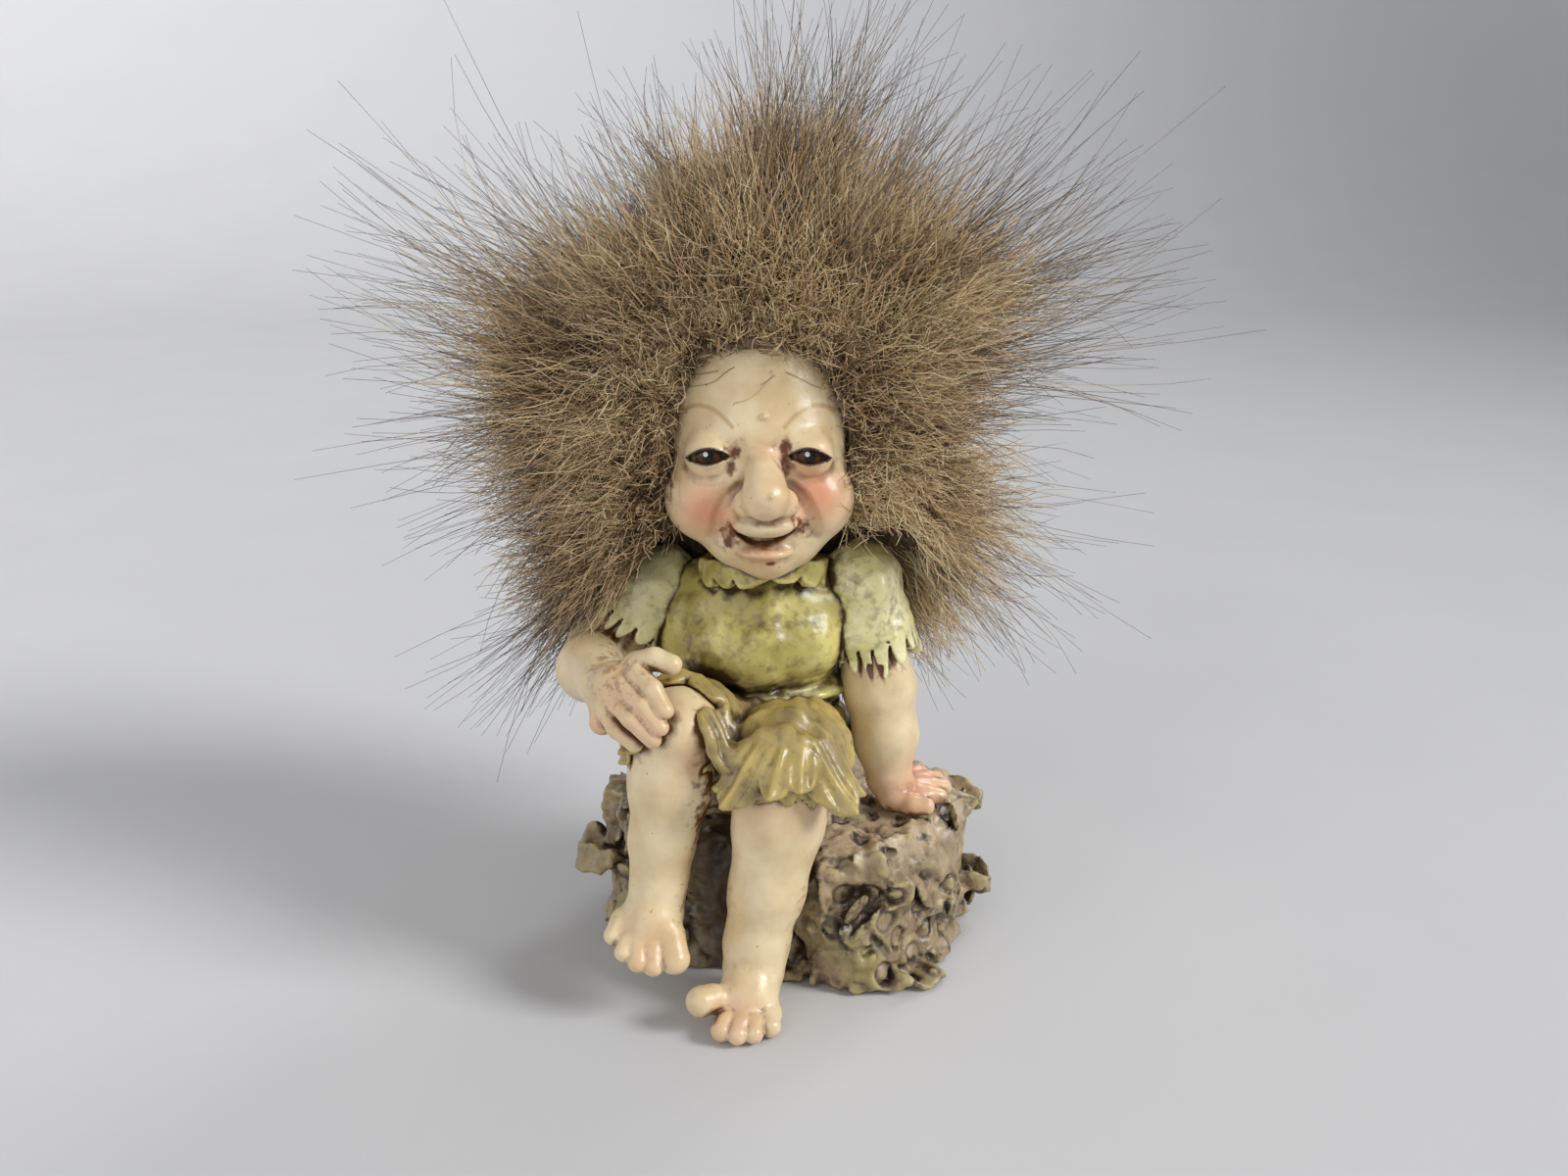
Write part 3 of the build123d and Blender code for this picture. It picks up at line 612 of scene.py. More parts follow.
def trouser_leg(p, hip, knee, form, leaves, end, seed):
    """Thigh in cloth, open at the knee, with torn leaf-shaped flaps hanging from its edge."""
    along, angle = around(p, hip, knee)
    length = np.linalg.norm(knee - hip)
    wrinkles = 0.4 * np.sin(along * 1.5 + 2.0 * np.sin(angle + seed) + 1.5 * noise(p, 5, seed))
    pleats = 0.35 * np.sin(angle * 7 + 1.4 * noise(p, 4, seed + 5)) * clamp(along / length - 0.5)
    thigh = cone(p, hip, knee, 7.0, 6.9) + 1.1 * cloth_folds(p, 4.0, seed)
    thigh = thigh + wrinkles * clamp(along / 8) + pleats
    hem = length + end + 1.6 * tatters(angle, 9, seed)
    shin = form(p) - 0.12
    thigh = cut(cut(thigh, hem - along, 0.4), shin, 0.25)
    for root, tip, half_width, out in leaves:
        thigh = join(0.5, thigh, cut(leaf(p, root, tip, half_width, out), shin, 0.1))
    return thigh


def trousers_field(p):
    seat = egg(p, pelvis + at(0, 0, 0.4), at(13.2, 10.2, 8.6)) + cloth_folds(p, 4.6, 41) * 0.9
    lap = egg(p, at(-4.5, -7.0, 33.0), at(9.0, 5.0, 4.2)) + cloth_folds(p, 3.0, 44) * 0.8
    right = trouser_leg(p, right_hip, right_knee, right_leg_form, right_leaves, 0.2, 1.0)
    left = trouser_leg(p, left_hip, left_knee, left_leg_form, left_leaves, 9.0, 2.3)
    left = join(0.8, left, ball(p, left_knee_fold, 1.6))
    whole = join(1.4, join(2.0, seat, lap), right, left)
    return cut(whole, p[:, 2] - stump_top + 1.0, 0.6)


def tunic_field(p):
    belly = egg(p, at(-5.0, -1.4, 43.6), at(12.4, 10.6, 7.2))
    side_fold = egg(p, at(0.4, -3.6, 44.2), at(6.4, 6.6, 5.0), spin(y=20))
    chest = egg(p, at(-4.0, 0.0, 48.6), at(13.0, 8.6, 6.2))
    shoulders = cone(p, at(-14.0, 1.0, 48.6), at(6.4, 0.6, 49.2), 4.4, 4.4)
    waist = egg(p, at(-4.0, 0.6, 36.5), at(11.8, 8.8, 6.0))
    whole = join(1.6, join(2.4, belly, chest, shoulders), side_fold)
    whole = join(1.2, whole, waist + 0.5 * np.sin(p[:, 2] * 2.2 + 1.2 * noise(p, 6, 53)))
    whole = whole + cloth_folds(p * (1, 1, 0.6), 4.4, 51) * 0.9
    throat = neck + at(0.6, -2.6, 0)
    down, angle = around(p, throat + at(0, 0, 1.2), throat + at(0, -1.6, -6))
    ring = np.linalg.norm(p - throat, axis=1)
    hem = 1.7 + 1.7 * tatters(angle, 13, 0.6)
    band = common(np.abs(ring - 7.9) - 0.75, down - hem, -down - 0.4)
    return join(0.5, whole, band + 0.3 * noise(p, 1.6, 55))


def sleeve_field(p, shoulder, elbow, length, wide, seed):
    """Short puffed sleeve, open below, its torn edge cut into pointed strips."""
    down, angle = around(p, shoulder, elbow)
    axis = unit(elbow - shoulder)
    end = shoulder + axis * (length + 3)
    outer = join(1.5, ball(p, shoulder, 5.4), cone(p, shoulder, end, 5.4, wide)) + cloth_folds(p, 4.4, seed)
    inner = cone(p, shoulder + axis * 5, end, 4.4, wide - 1.3)
    hem = length * (0.56 + 0.44 * tatters(angle, 17, seed))
    shell = cut(outer, np.maximum(inner, 4.0 - down), 0.3)
    return cut(shell, hem - down, 0.3)


def right_sleeve_field(p):
    return sleeve_field(p, right_shoulder, right_elbow, 8.2, 6.4, 1.0)


def left_sleeve_field(p):
    return sleeve_field(p, left_shoulder, left_elbow, 12.0, 7.0, 2.0)


def cloth_paint(p):
    return {"fade": clamp(0.5 + 0.6 * noise(p, 5, 61) + 0.25 * noise(p, 1.8, 62))}


# Head
def mirrored(side, x, y, z):
    """Point beside the middle of the face, at x to the figure's right (-1) or left (1)."""
    return at(face_x + side * x, y, z)


def eye_middle(side):
    return mirrored(side, eye_spread, eye_depth, eye_height)


mouth_middle = at(-3.0, 0, 60.6)
mouth_half_width = 4.0
lid_half_width = 2.35


def lids(p, side):
    """Height above the upper lid's edge and below the lower one's, over an eye."""
    u = (p[:, 0] - face_x) * side - eye_spread
    arch = 1 - np.square(u / lid_half_width)
    upper = eye_height + 0.1 - 0.05 * u + 0.95 * arch
    lower = eye_height - 0.05 * u - 0.75 * arch
    return p[:, 2] - upper, lower - p[:, 2]


def lips(p):
    """Height above the upper lip's edge and below the lower one's; both curve up into a smile."""
    u = (p[:, 0] - mouth_middle[0]) / mouth_half_width
    tilt = mouth_middle[2] + 0.4 * u
    upper = tilt - 0.1 + 0.9 * np.square(u)
    lower = tilt - 1.15 + 2.0 * np.square(u)
    return p[:, 2] - upper, lower - p[:, 2]


def skull_form(p):
    crown = egg(p, at(face_x, -0.5, 74.0), at(11.5, 12.2, 13.4))
    jaw = egg(p, at(face_x, -3.4, 65.0), at(11.8, 10.6, 8.6))
    return join(4.0, crown, jaw)


def nose_form(p):
    bridge = cone(p, at(-3.4, -11.4, 71.2), at(-3.0, -15.4, 67.6), 1.7, 2.5)
    bulb = egg(p, at(-2.9, -16.9, 66.2), at(2.9, 2.9, 2.8))
    wings = join(0.6, ball(p, at(-5.1, -15.0, 65.0), 1.85), ball(p, at(-0.8, -15.0, 65.1), 1.85))
    return join(0.9, bridge, bulb, wings)


skin_bubbles = ((at(-3.1, -13.1, 75.4), 0.42), (at(-3.3, -16.4, 62.6), 0.45), (at(-2.2, -19.6, 67.0), 0.35))


def smile_fold(side):
    """Points from the wing of the nose round the cheek to beside the corner of the mouth."""
    return [at(-3.0 + side * x, 0, z) for x, z in ((2.9, 66.6), (4.6, 65.0), (5.6, 63.0), (5.9, 60.8))]


def eye_bag(side):
    """Points along the fold under an eye."""
    return [mirrored(side, x, 0, z) for x, z in ((3.8, 69.2), (5.2, 68.3), (7.0, 68.2), (8.6, 68.9))]


def brow_arch(side):
    """Points along a painted brow, from its inner end to its outer one."""
    return [mirrored(side, 3.2 + 6.2 * t, 0, 74.1 + 7.2 * t - 6.0 * t * t) for t in np.linspace(0, 1, 9)]


def set_eye(p, whole, side):
    """Head with a lidded socket for one eye."""
    centre = eye_middle(side)
    whole = join(1.0, whole, ball(p, centre, eye_radius + 0.42))
    above, below = lids(p, side)
    edge = np.maximum(above, below)
    rim = np.hypot(edge, ball(p, centre, eye_radius + 0.35)) - 0.42
    front = p[:, 1] - eye_depth
    whole = join(0.35, whole, np.maximum(rim, front))
    whole = cut(whole, common(edge, front, ball(p, centre, eye_radius + 3)), 0.2)
    return cut(whole, ball(p, centre, eye_radius + 0.02), 0.05)


def head_field(p):
    whole = join(3.0, skull_form(p), egg(p, at(face_x, -6.6, 71.4), at(9.6, 6.8, 5.4)))
    whole = join(2.4, whole, egg(p, at(-3.2, -7.6, 58.9), at(7.6, 6.0, 4.6)))
    whole = join(2.0, whole, ball(p, at(-2.8, -10.6, 56.9), 2.5))
    for side in (-1, 1):
        whole = join(2.4, whole, egg(p, mirrored(side, 7.2, -8.6, 63.9), at(4.7, 4.7, 4.7)))
        whole = cut(whole, egg(p, mirrored(side, 2.9, -15.2, 70.8), at(1.5, 1.8, 2.0)), 1.4)
        crease = 0.5 * stroke(p, smile_fold(side), 1.3) + 0.3 * stroke(p, eye_bag(side), 0.9)
        whole = whole + crease * (p[:, 1] < -7)
    whole = join(0.9, whole, nose_form(p))
    whole = join(1.0, whole, egg(p, at(-3.0, -13.5, 62.2), at(4.1, 3.4, 1.7)))
    whole = join(0.9, whole, egg(p, at(-3.0, -12.9, 58.4), at(3.2, 2.6, 1.0)))
    above, below = lips(p)
    whole = cut(whole, common(above, below, -1.3 - whole, p[:, 1] + 8), 0.3)
    for side in (-1, 1):
        whole = set_eye(p, whole, side)
    for middle, radius in skin_bubbles:
        whole = join(0.2, whole, ball(p, middle, radius))
    throat = cone(p, at(-4, -1.5, 58), at(-4, 0.0, 49.5), 5.4, 4.4)
    return join(1.5, whole, throat) + 0.06 * noise(p, 2.6, 71) + 0.025 * noise(p, 0.9, 72)


def eye_field(side):
    centre = eye_middle(side)

    def field(p):
        cornea = egg(p, centre + at(0, -1.55, 0), at(1.6, 1.15, 1.6))
        return join(0.2, ball(p, centre, eye_radius), cornea)
    return field


def spots(p, rows):
    """Soft dabs of paint, each with a middle, a radius and a strength, added up."""
    return sum(strength * spot(p, middle, radius) for middle, radius, strength in rows)


face_blush = (
    (mirrored(1, 7.0, -12.6, 65.8), 3.6, 1.1), (mirrored(-1, 6.4, -13.0, 63.6), 3.4, 1.1),
    (at(-3.0, -15.2, 58.4), at(3.4, 3, 1.0), 0.5), (at(-2.4, -14, 71), 2.2, 0.35),
    (at(-2.8, -13.5, 56.6), 2.6, 0.25), (at(-2.9, -19, 66.2), 3.4, 0.25),
)
face_stains = [
    (at(-7.4, -13.4, 59.4), at(1.1, 2, 1.2), 0.9), (at(-2.4, -13.6, 57.0), at(1.0, 2, 0.5), 0.95),
    (mirrored(1, 8.6, -11, 64.6), 1.1, 0.6),
]
for side in (-1, 1):
    mouth_corner = at(mouth_middle[0] + side * (mouth_half_width + 0.8), -13.4, 61.2 + 0.4 * side)
    face_stains += [
        (mirrored(side, 3.2, -13.6, 71.2), at(1.1, 3, 1.4), 1.2),
        (mirrored(side, 3.3, -13.6, 69.0), at(0.9, 3, 1.1), 0.8),
        (mirrored(side, 4.0, -15.0, 64.0), at(0.8, 2, 1.6), 0.45),
        (mouth_corner, at(1.2, 2.5, 1.5), 1.4),
    ]


def head_paint(p):
    line = np.zeros(len(p))
    ochre = np.zeros(len(p))
    for side in (-1, 1):
        above, below = lids(p, side)
        edge = np.maximum(above, below)
        upper_line = clamp(1.3 - np.abs(edge - 0.1) / 0.30) * (above > -0.7)
        lower_line = 0.55 * clamp(1.2 - np.abs(edge - 0.05) / 0.2)
        line = np.maximum(line, np.maximum(upper_line, lower_line) * (p[:, 1] < eye_depth))
        ochre = np.maximum(ochre, stroke(p, brow_arch(side), 0.36) * (p[:, 1] < -6))
    gape = clamp(0.9 - 1.6 * np.maximum(*lips(p))) * (p[:, 1] < -8)
    hair_edge = clamp(1 - face_gap(p) / 0.9) * (p[:, 2] > 66)
    stain = clamp(spots(p, face_stains) + 0.72 * gape + 0.6 * hair_edge)
    return {"blush": clamp(spots(p, face_blush)), "line": line, "ochre": ochre, "stain": stain}


def limb_paint(warm_spots, stain_and_shade_spots):
    """Blush and stains of an arm or leg; some of the stains on the legs are painted shade."""
    def paint(p):
        none = np.zeros(len(p))
        blush, stain = clamp(spots(p, warm_spots)), clamp(spots(p, stain_and_shade_spots))
        return {"blush": blush, "line": none, "ochre": none, "stain": stain}
    return paint


# Wig
face_opening = at(11.0, 0, 16.0)
face_middle = at(-3.8, 0, 67.6)
face_power = 2.6  # 2 would make the opening an ellipse


def face_gap(p):
    """Distance inside the opening that the hair leaves for the face, seen from the front."""
    q = np.abs(p - face_middle)[:, (0, 2)] / face_opening[[0, 2]]
    return (1 - np.sum(q**face_power, axis=1) ** (1 / face_power)) * 12.0


mane_middle = at(-4.0, 4.0, 73.0)
mane_back, mane_front = 33.0, 17.0
mane_reaches = (  # turn from +X in degrees, reach of the dense fur and of the longest tips
    (0, 29, 44), (12, 28, 56), (25, 35, 58), (36, 39, 52), (61, 33, 54), (73, 36, 53), (82, 39, 53),
    (91, 36, 50), (101, 35, 46), (121, 31, 48), (142, 34, 55), (152, 36, 59), (168, 39, 57), (178, 38, 54),
    (196, 34, 52), (207, 36, 55), (222, 43, 56), (236, 42, 54), (255, 43, 50), (285, 43, 50), (302, 43, 47),
    (318, 42, 51), (330, 37, 49), (347, 29, 44),
)


def mane_share(p, column=1):
    """Place in the mane: 0 at its middle, 1 where the dense fur ends, or where its longest tips do."""
    q = p - mane_middle
    turn = np.degrees(np.arctan2(q[:, 2], q[:, 0]))
    rows = np.array(mane_reaches, float).T
    reach = np.interp(turn, rows[0], rows[column], period=360)
    deep = np.where(q[:, 1] > 0, mane_back, mane_front) + 6.0 * (column - 1)
    return np.sqrt(np.square(np.hypot(q[:, 0], q[:, 2]) / reach) + np.square(q[:, 1] / deep))


mat_share = 0.66
hair_low, hair_high = at(-67, -30, 3), at(57, 44, 130)
shoulder_middle, shoulder_reach = -3.4, 19.6


def shoulder_room(p):
    """Distance outside the space in front of the shoulders that the hair leaves free."""
    offset = p[:, 0] - shoulder_middle
    half = shoulder_reach - 0.6 * np.clip(p[:, 2] - 48, 0, 12) * (offset < 0)
    return common(np.abs(offset) - half, p[:, 1] - 4.5, p[:, 2] - 60)


def mane_field(p):
    """Matted body of the fur, under its loose hairs."""
    whole = (mane_share(p) - mat_share) * 24.0 + 1.4 * noise(p, 7, 80)
    opening = np.maximum(-face_gap(p) - 0.2, p[:, 1] - 2.0)
    whole = cut(whole, opening, 1.6)
    whole = cut(whole, np.maximum(body_field(p) - 1.2, p[:, 2] - 60), 1.0)
    whole = cut(whole, shoulder_room(p), 1.0)
    return whole + 0.8 * noise(p, 5, 81) + 0.4 * noise(p, 2, 82)


def body_field(p):
    """Trunk and arms, that the hair lies over."""
    chest = egg(p, at(-4.0, 0.0, 44.0), at(13.2, 10.6, 12.0))
    trunk = join(2.0, chest, egg(p, pelvis, at(13.5, 10.5, 9.0)))
    arms = join(
        2.0, limb(p, 1.0, (right_shoulder, 6.0), (right_elbow, 5.0), (right_wrist, 3.4)),
        limb(p, 1.0, (left_shoulder, 6.2), (left_elbow, 5.4), (left_wrist, 3.6)),
    )
    stump = np.maximum(stump_wall(p), p[:, 2] - stump_top)
    return join(1.0, trunk, arms, stump)


tufts = (  # tip, spread at the tip, share of the long hairs
    (at(11, 8, 124), 6.0, 1.5), (at(-1, -2, 121), 5.0, 1.3), (at(-20, 8, 112), 6.0, 0.5),
    (at(-55, -1, 99), 6.0, 0.9), (at(-44, 10, 103), 7.0, 0.8), (at(-57, 8, 86), 6.0, 0.8),
    (at(-54, -2, 72), 6.0, 0.8), (at(-50, 12, 56), 6.0, 0.7), (at(-40, 3, 34), 4.0, 1.7),
    (at(-35, 8, 31), 4.0, 1.3), (at(23, 12, 115), 6.0, 0.8), (at(34, -1, 106), 6.0, 1.1),
    (at(47, 7, 97), 5.0, 1.4), (at(48, -2, 85), 5.0, 1.0), (at(36, 10, 71), 5.0, 0.6),
    (at(37, 0, 52), 5.0, 1.0), (at(34, 9, 41), 4.0, 1.1), (at(20, 12, 34), 5.0, 0.8),
    (at(-4, 24, 112), 8.0, 0.9), (at(-4, -8, 106), 8.0, 0.7), (at(-30, 30, 96), 7.0, 0.8),
    (at(24, 30, 98), 7.0, 0.8), (at(-4, 40, 84), 7.0, 0.8), (at(-26, 32, 52), 6.0, 0.8),
    (at(18, 32, 50), 6.0, 0.8), (at(-4, 34, 40), 7.0, 0.9),
)
lock_count = 70
lock_ways = draw.normal(0, 1, (lock_count, 3)) * at(1, 0.9, 1)
lock_ways[:, 1] = np.where(lock_ways[:, 1] < -0.4, -lock_ways[:, 1], lock_ways[:, 1])
lock_ways = unit(lock_ways)
lock_tips = mane_middle + lock_ways * (0.86 / mane_share(mane_middle + lock_ways, 2))[:, None]


def strand_paths(roots, tips, curl, waves, steps, bowing=0.10):
    """Hair centre lines from roots to tips, each bowed and curled at random."""
    count = len(roots)
    share = np.linspace(0, 1, steps)[None, :, None]
    along = tips - roots
    length = np.linalg.norm(along, axis=1)[:, None, None]
    paths = roots[:, None] + along[:, None] * share
    bow = draw.normal(0, bowing, (count, 1, 3)) * length
    paths = paths + bow * share * share
    for harmonic in (1.0, 1.9):
        swing = draw.normal(0, 1, (count, 1, 3)) * curl / harmonic
        phase = draw.uniform(0, 2 * math.pi, (count, 1, 3))
        wave = np.sin(phase + share * waves * harmonic * 2 * math.pi) - np.sin(phase)
        paths = paths + swing * wave * np.minimum(1, share * 3)
    return paths


def tube_faces(count, steps):
    """Triangles of closed three-sided tubes, their points in rings of three from root to tip."""
    start = np.arange(count) * steps * 3
    end = start + (steps - 1) * 3
    ring = start[:, None, None, None] + (np.arange(steps - 1) * 3)[None, :, None, None]
    corner = np.arange(3)[None, None, :, None]
    a, b = ring + corner, ring + (corner + 1) % 3
    upper = np.concatenate((a, b, b + 3), 3).reshape(-1, 3)
    lower = np.concatenate((a, b + 3, a + 3), 3).reshape(-1, 3)
    root_caps = np.stack((start + 2, start + 1, start), 1)
    tip_caps = np.stack((end, end + 1, end + 2), 1)
    return np.concatenate((upper, lower, root_caps, tip_caps))


def hair_tones(places):
    """Tone of each hair, 0 to 1: random, alike within a clump, and darkened low on the figure's right side
    as painted shade.
    """
    clump = 0.5 + 0.7 * noise(places, 8, 84) + 0.4 * noise(places, 3, 85)
    # Painted shade on the hairs low on the figure's right side
    low_side_shade = clamp((70 - places[:, 2]) / 18) * clamp((-14 - places[:, 0]) / 8)
    return clamp(0.74 * draw.random(len(places)) + 0.36 * clump - 0.5 * low_side_shade)


def strand_mesh(paths, root_radius, tip_radius):
    """Tubes along hair centre lines, with each hair's share along it and its tone, painted shade included,
    as masks.
    """
    count, steps, _ = paths.shape
    tangent = np.gradient(paths, axis=1)
    tangent /= np.linalg.norm(tangent, axis=2, keepdims=True) + 1e-9
    side = np.cross(tangent, draw.normal(0, 1, (count, 1, 3)))
    side /= np.linalg.norm(side, axis=2, keepdims=True) + 1e-9
    other = np.cross(tangent, side)
    share = np.linspace(0, 1, steps)
    radius = (root_radius + (tip_radius - root_radius) * share)[None, :, None]
    turns = 2 * math.pi * np.arange(3) / 3
    rings = [paths + radius * (math.cos(t) * side + math.sin(t) * other) for t in turns]
    own = hair_tones(paths[:, steps // 2])
    masks = {"share": np.repeat(np.tile(share, count), 3), "own": np.repeat(own, steps * 3)}
    return np.stack(rings, 2).reshape(-1, 3), tube_faces(count, steps), masks


def clear_of_figure(paths):
    """Which hairs stay out of the face, the body and the floor."""
    count, steps, _ = paths.shape
    p = paths.reshape(-1, 3)
    in_face = (face_gap(p) > 1.3) & (p[:, 1] < 1.0) & (p[:, 2] > 50)
    in_body = body_field(p) < -0.4
    over_shoulder = shoulder_room(p) < 0
    outside = np.any((p < hair_low) | (p > hair_high), axis=1)
    return ~(in_face | in_body | over_shoulder | outside).reshape(count, steps).any(1)


# Materials
class Shader:
    """A material and short calls for the nodes that paint it."""

    def __init__(self, name, **constants):
        self.material = bpy.data.materials.new(name)
        self.material.use_nodes = True
        self.tree = self.material.node_tree
        self.surface = self.tree.nodes["Principled BSDF"]
        for socket, value in constants.items():
            self.surface.inputs[socket.replace("_", " ")].default_value = value

    def node(self, kind, **settings):
        made = self.tree.nodes.new(kind)
        for key, value in settings.items():
            setattr(made, key, value)
        return made

    def feed(self, socket, value):
        if isinstance(value, bpy.types.NodeSocket):
            self.tree.links.new(value, socket)
        elif isinstance(value, tuple):
            socket.default_value = (*value, 1.0)
        else:
            socket.default_value = value

    def mask(self, name):
        return self.node("ShaderNodeAttribute", attribute_name=name).outputs["Fac"]

    def grain(self, size, detail=4.0, stretch=(1, 1, 1)):
        """Noise of a feature size in millimetres, on the object's own coordinates."""
        place = self.node("ShaderNodeTexCoord").outputs["Object"]
        mapping = self.node("ShaderNodeMapping")
        mapping.inputs["Scale"].default_value = stretch
        self.tree.links.new(place, mapping.inputs["Vector"])
        made = self.node("ShaderNodeTexNoise")
        made.inputs["Scale"].default_value = 1 / (size * MM)
        made.inputs["Detail"].default_value = detail
        self.tree.links.new(mapping.outputs["Vector"], made.inputs["Vector"])
        return made.outputs["Fac"]

    def levels(self, value, low, high, bottom=0.0, top=1.0):
        made = self.node("ShaderNodeMapRange", clamp=True)
        for key, number in (("From Min", low), ("From Max", high), ("To Min", bottom), ("To Max", top)):
            made.inputs[key].default_value = number
        self.feed(made.inputs["Value"], value)
        return made.outputs["Result"]

    def sum(self, a, b, share=1.0):
        made = self.node("ShaderNodeMath", operation="MULTIPLY_ADD")
        self.feed(made.inputs[0], b)
        made.inputs[1].default_value = share
        self.feed(made.inputs[2], a)
        return made.outputs[0]

    def mix(self, share, a, b):
        made = self.node("ShaderNodeMix", data_type="RGBA")
        self.feed(made.inputs[0], share)
        self.feed(made.inputs[6], a)
        self.feed(made.inputs[7], b)
        return made.outputs[2]

    def over(self, colour, coat, value, low, high, top=1.0):
        """Colour with a coat over it, from none where a value is low to the top share where it is high."""
        return self.mix(self.levels(value, low, high, 0.0, top), colour, coat)

    def finish(self, colour, roughness=None, height=None, strength=0.3, depth=0.2):
        self.feed(self.surface.inputs["Base Color"], colour)
        if roughness is not None:
            self.feed(self.surface.inputs["Roughness"], roughness)
        if height is not None:
            bump = self.node("ShaderNodeBump")
            bump.inputs["Strength"].default_value = strength
            bump.inputs["Distance"].default_value = depth * MM
            self.feed(bump.inputs["Height"], height)
            self.feed(self.surface.inputs["Normal"], bump.outputs["Normal"])
        return self.material


def skin_paint():
    s = Shader("skin_paint", Coat_Weight=0.22, Coat_Roughness=0.22)
    colour = s.over((0.80, 0.665, 0.42), (0.64, 0.475, 0.255), s.grain(5.0), 0.35, 0.7)
    colour = s.over(colour, (0.72, 0.28, 0.16), s.mask("blush"), 0.0, 1.0, 0.82)
    colour = s.over(colour, (0.42, 0.25, 0.07), s.mask("ochre"), 0.0, 1.0, 0.65)
    flecks = s.levels(s.grain(1.1, 6.0), 0.40, 0.62)
    # Brown wash with painted shade, in hollows and beside other pieces
    colour = s.over(colour, (0.17, 0.072, 0.026), s.sum(s.mask("wash_and_shade"), flecks, 0.12), 0.20, 0.66)
    # Stains, partly painted shade in the dark bands down the shins
    colour = s.over(colour, (0.14, 0.038, 0.006), s.sum(s.mask("stain"), flecks, 0.65), 0.70, 1.3)
    colour = s.over(colour, (0.24, 0.13, 0.05), s.grain(0.55, 2.0), 0.73, 0.78)
    colour = s.over(colour, (0.018, 0.008, 0.004), s.mask("line"), 0.2, 0.7)
    gloss = s.levels(s.grain(3.0), 0.3, 0.7, 0.30, 0.48)
    return s.finish(colour, gloss, s.grain(0.8, 5.0), 0.22, 0.15)


def cloth_paint_shader(name, light, deep, wash_and_shade_colour):
    s = Shader(name, Coat_Weight=0.35, Coat_Roughness=0.25)
    colour = s.over(deep, light, s.mask("fade"), 0.2, 0.85)
    colour = s.over(colour, deep, s.grain(1.6, 6.0), 0.45, 0.75, 0.25)
    flecks = s.levels(s.grain(1.0, 6.0), 0.38, 0.64)
    # Brown wash with painted shade, in hollows and beside other pieces
    colour = s.over(colour, wash_and_shade_colour, s.sum(s.mask("wash_and_shade"), flecks, 0.25), 0.16, 0.60)
    colour = s.over(colour, light, s.mask("ridge"), 0.25, 0.9, 0.6)
    gloss = s.levels(s.grain(2.4), 0.3, 0.7, 0.28, 0.50)
    return s.finish(colour, gloss, s.grain(0.6, 5.0), 0.3, 0.2)


def bark_paint():
    s = Shader("bark_paint", Coat_Weight=0.2, Coat_Roughness=0.25)
    colour = s.over((0.18, 0.125, 0.062), (0.46, 0.345, 0.20), s.grain(3.0, 6.0), 0.35, 0.68)
    colour = s.over(colour, (0.26, 0.22, 0.065), s.mask("moss"), 0.35, 0.9, 0.7)
    colour = s.over(colour, (0.60, 0.465, 0.315), s.mask("tan"), 0.1, 0.9, 0.7)
    colour = s.over(colour, (0.45, 0.38, 0.16), s.mask("ridge"), 0.15, 0.8, 0.75)
    flecks = s.levels(s.grain(0.9, 6.0), 0.38, 0.66)
    # Brown wash with painted shade, in hollows and beside other pieces
    colour = s.over(colour, (0.045, 0.025, 0.012), s.sum(s.mask("wash_and_shade"), flecks, 0.35), 0.24, 0.70)
    colour = s.over(colour, (0.03, 0.017, 0.009), s.mask("pressed"), 0.2, 0.9, 0.55)
    colour = s.over(colour, (0.045, 0.022, 0.011), s.mask("shade"), 0.0, 1.0, 0.9)
    gloss = s.levels(s.grain(2.0), 0.3, 0.7, 0.34, 0.6)
    return s.finish(colour, gloss, s.grain(0.5, 6.0), 0.5, 0.25)


def eye_gloss():
    s = Shader("eye_gloss", Roughness=0.3, Specular_IOR_Level=0.3, Coat_Weight=0.1, Coat_Roughness=0.1)
    iris = s.mix(s.grain(0.5, 3.0), (0.10, 0.035, 0.012), (0.03, 0.010, 0.005))
    colour = s.over(iris, (0.30, 0.20, 0.12), s.mask("white"), 0.3, 0.7)
    colour = s.over(colour, (0.004, 0.003, 0.003), s.mask("pupil"), 0.4, 0.6)
    colour = s.over(colour, (0.75, 0.74, 0.72), s.mask("glint"), 0.35, 0.65)
    return s.finish(colour)


def felt_cloth():
    s = Shader("felt_cloth", Roughness=0.95, Sheen_Weight=0.3)
    colour = s.over((0.035, 0.045, 0.035), (0.07, 0.08, 0.065), s.grain(0.7, 6.0), 0.35, 0.65)
    return s.finish(colour, None, s.grain(0.4, 6.0), 0.6, 0.2)


def knit_cloth():
    s = Shader("knit_cloth", Roughness=0.95, Sheen_Weight=0.2)
    colour = s.over((0.10, 0.065, 0.04), (0.26, 0.18, 0.12), s.grain(0.8, 6.0), 0.35, 0.65)
    return s.finish(colour, None, s.grain(0.5, 4.0, (1, 1, 2.2)), 0.7, 0.3)


def matted_fur():
    s = Shader("matted_fur", Roughness=0.75, Sheen_Weight=0.2)
    colour = s.over((0.06, 0.036, 0.018), (0.24, 0.15, 0.072), s.grain(0.8, 6.0, (1, 1, 0.35)), 0.35, 0.68)
    return s.finish(colour, None, s.grain(0.35, 5.0, (1, 1, 0.4)), 0.8, 0.4)


def hair_fibre(name, root, middle, pale, tip, tip_start):
    """Fibre that darkens towards its tip, each hair a little different from the next."""
    s = Shader(name, Specular_IOR_Level=0.75)
    own, share = s.mask("own"), s.mask("share")
    # The own mask is each hair's tone, with painted shade low on the figure's right side
    tone = s.over(s.over(root, middle, own, 0.34, 0.52), pale, own, 0.6, 0.82)
    colour = s.over(s.over(root, tone, share, 0.0, 0.25), tip, share, tip_start, 1.0)
    return s.finish(colour, s.levels(own, 0.0, 1.0, 0.45, 0.22))


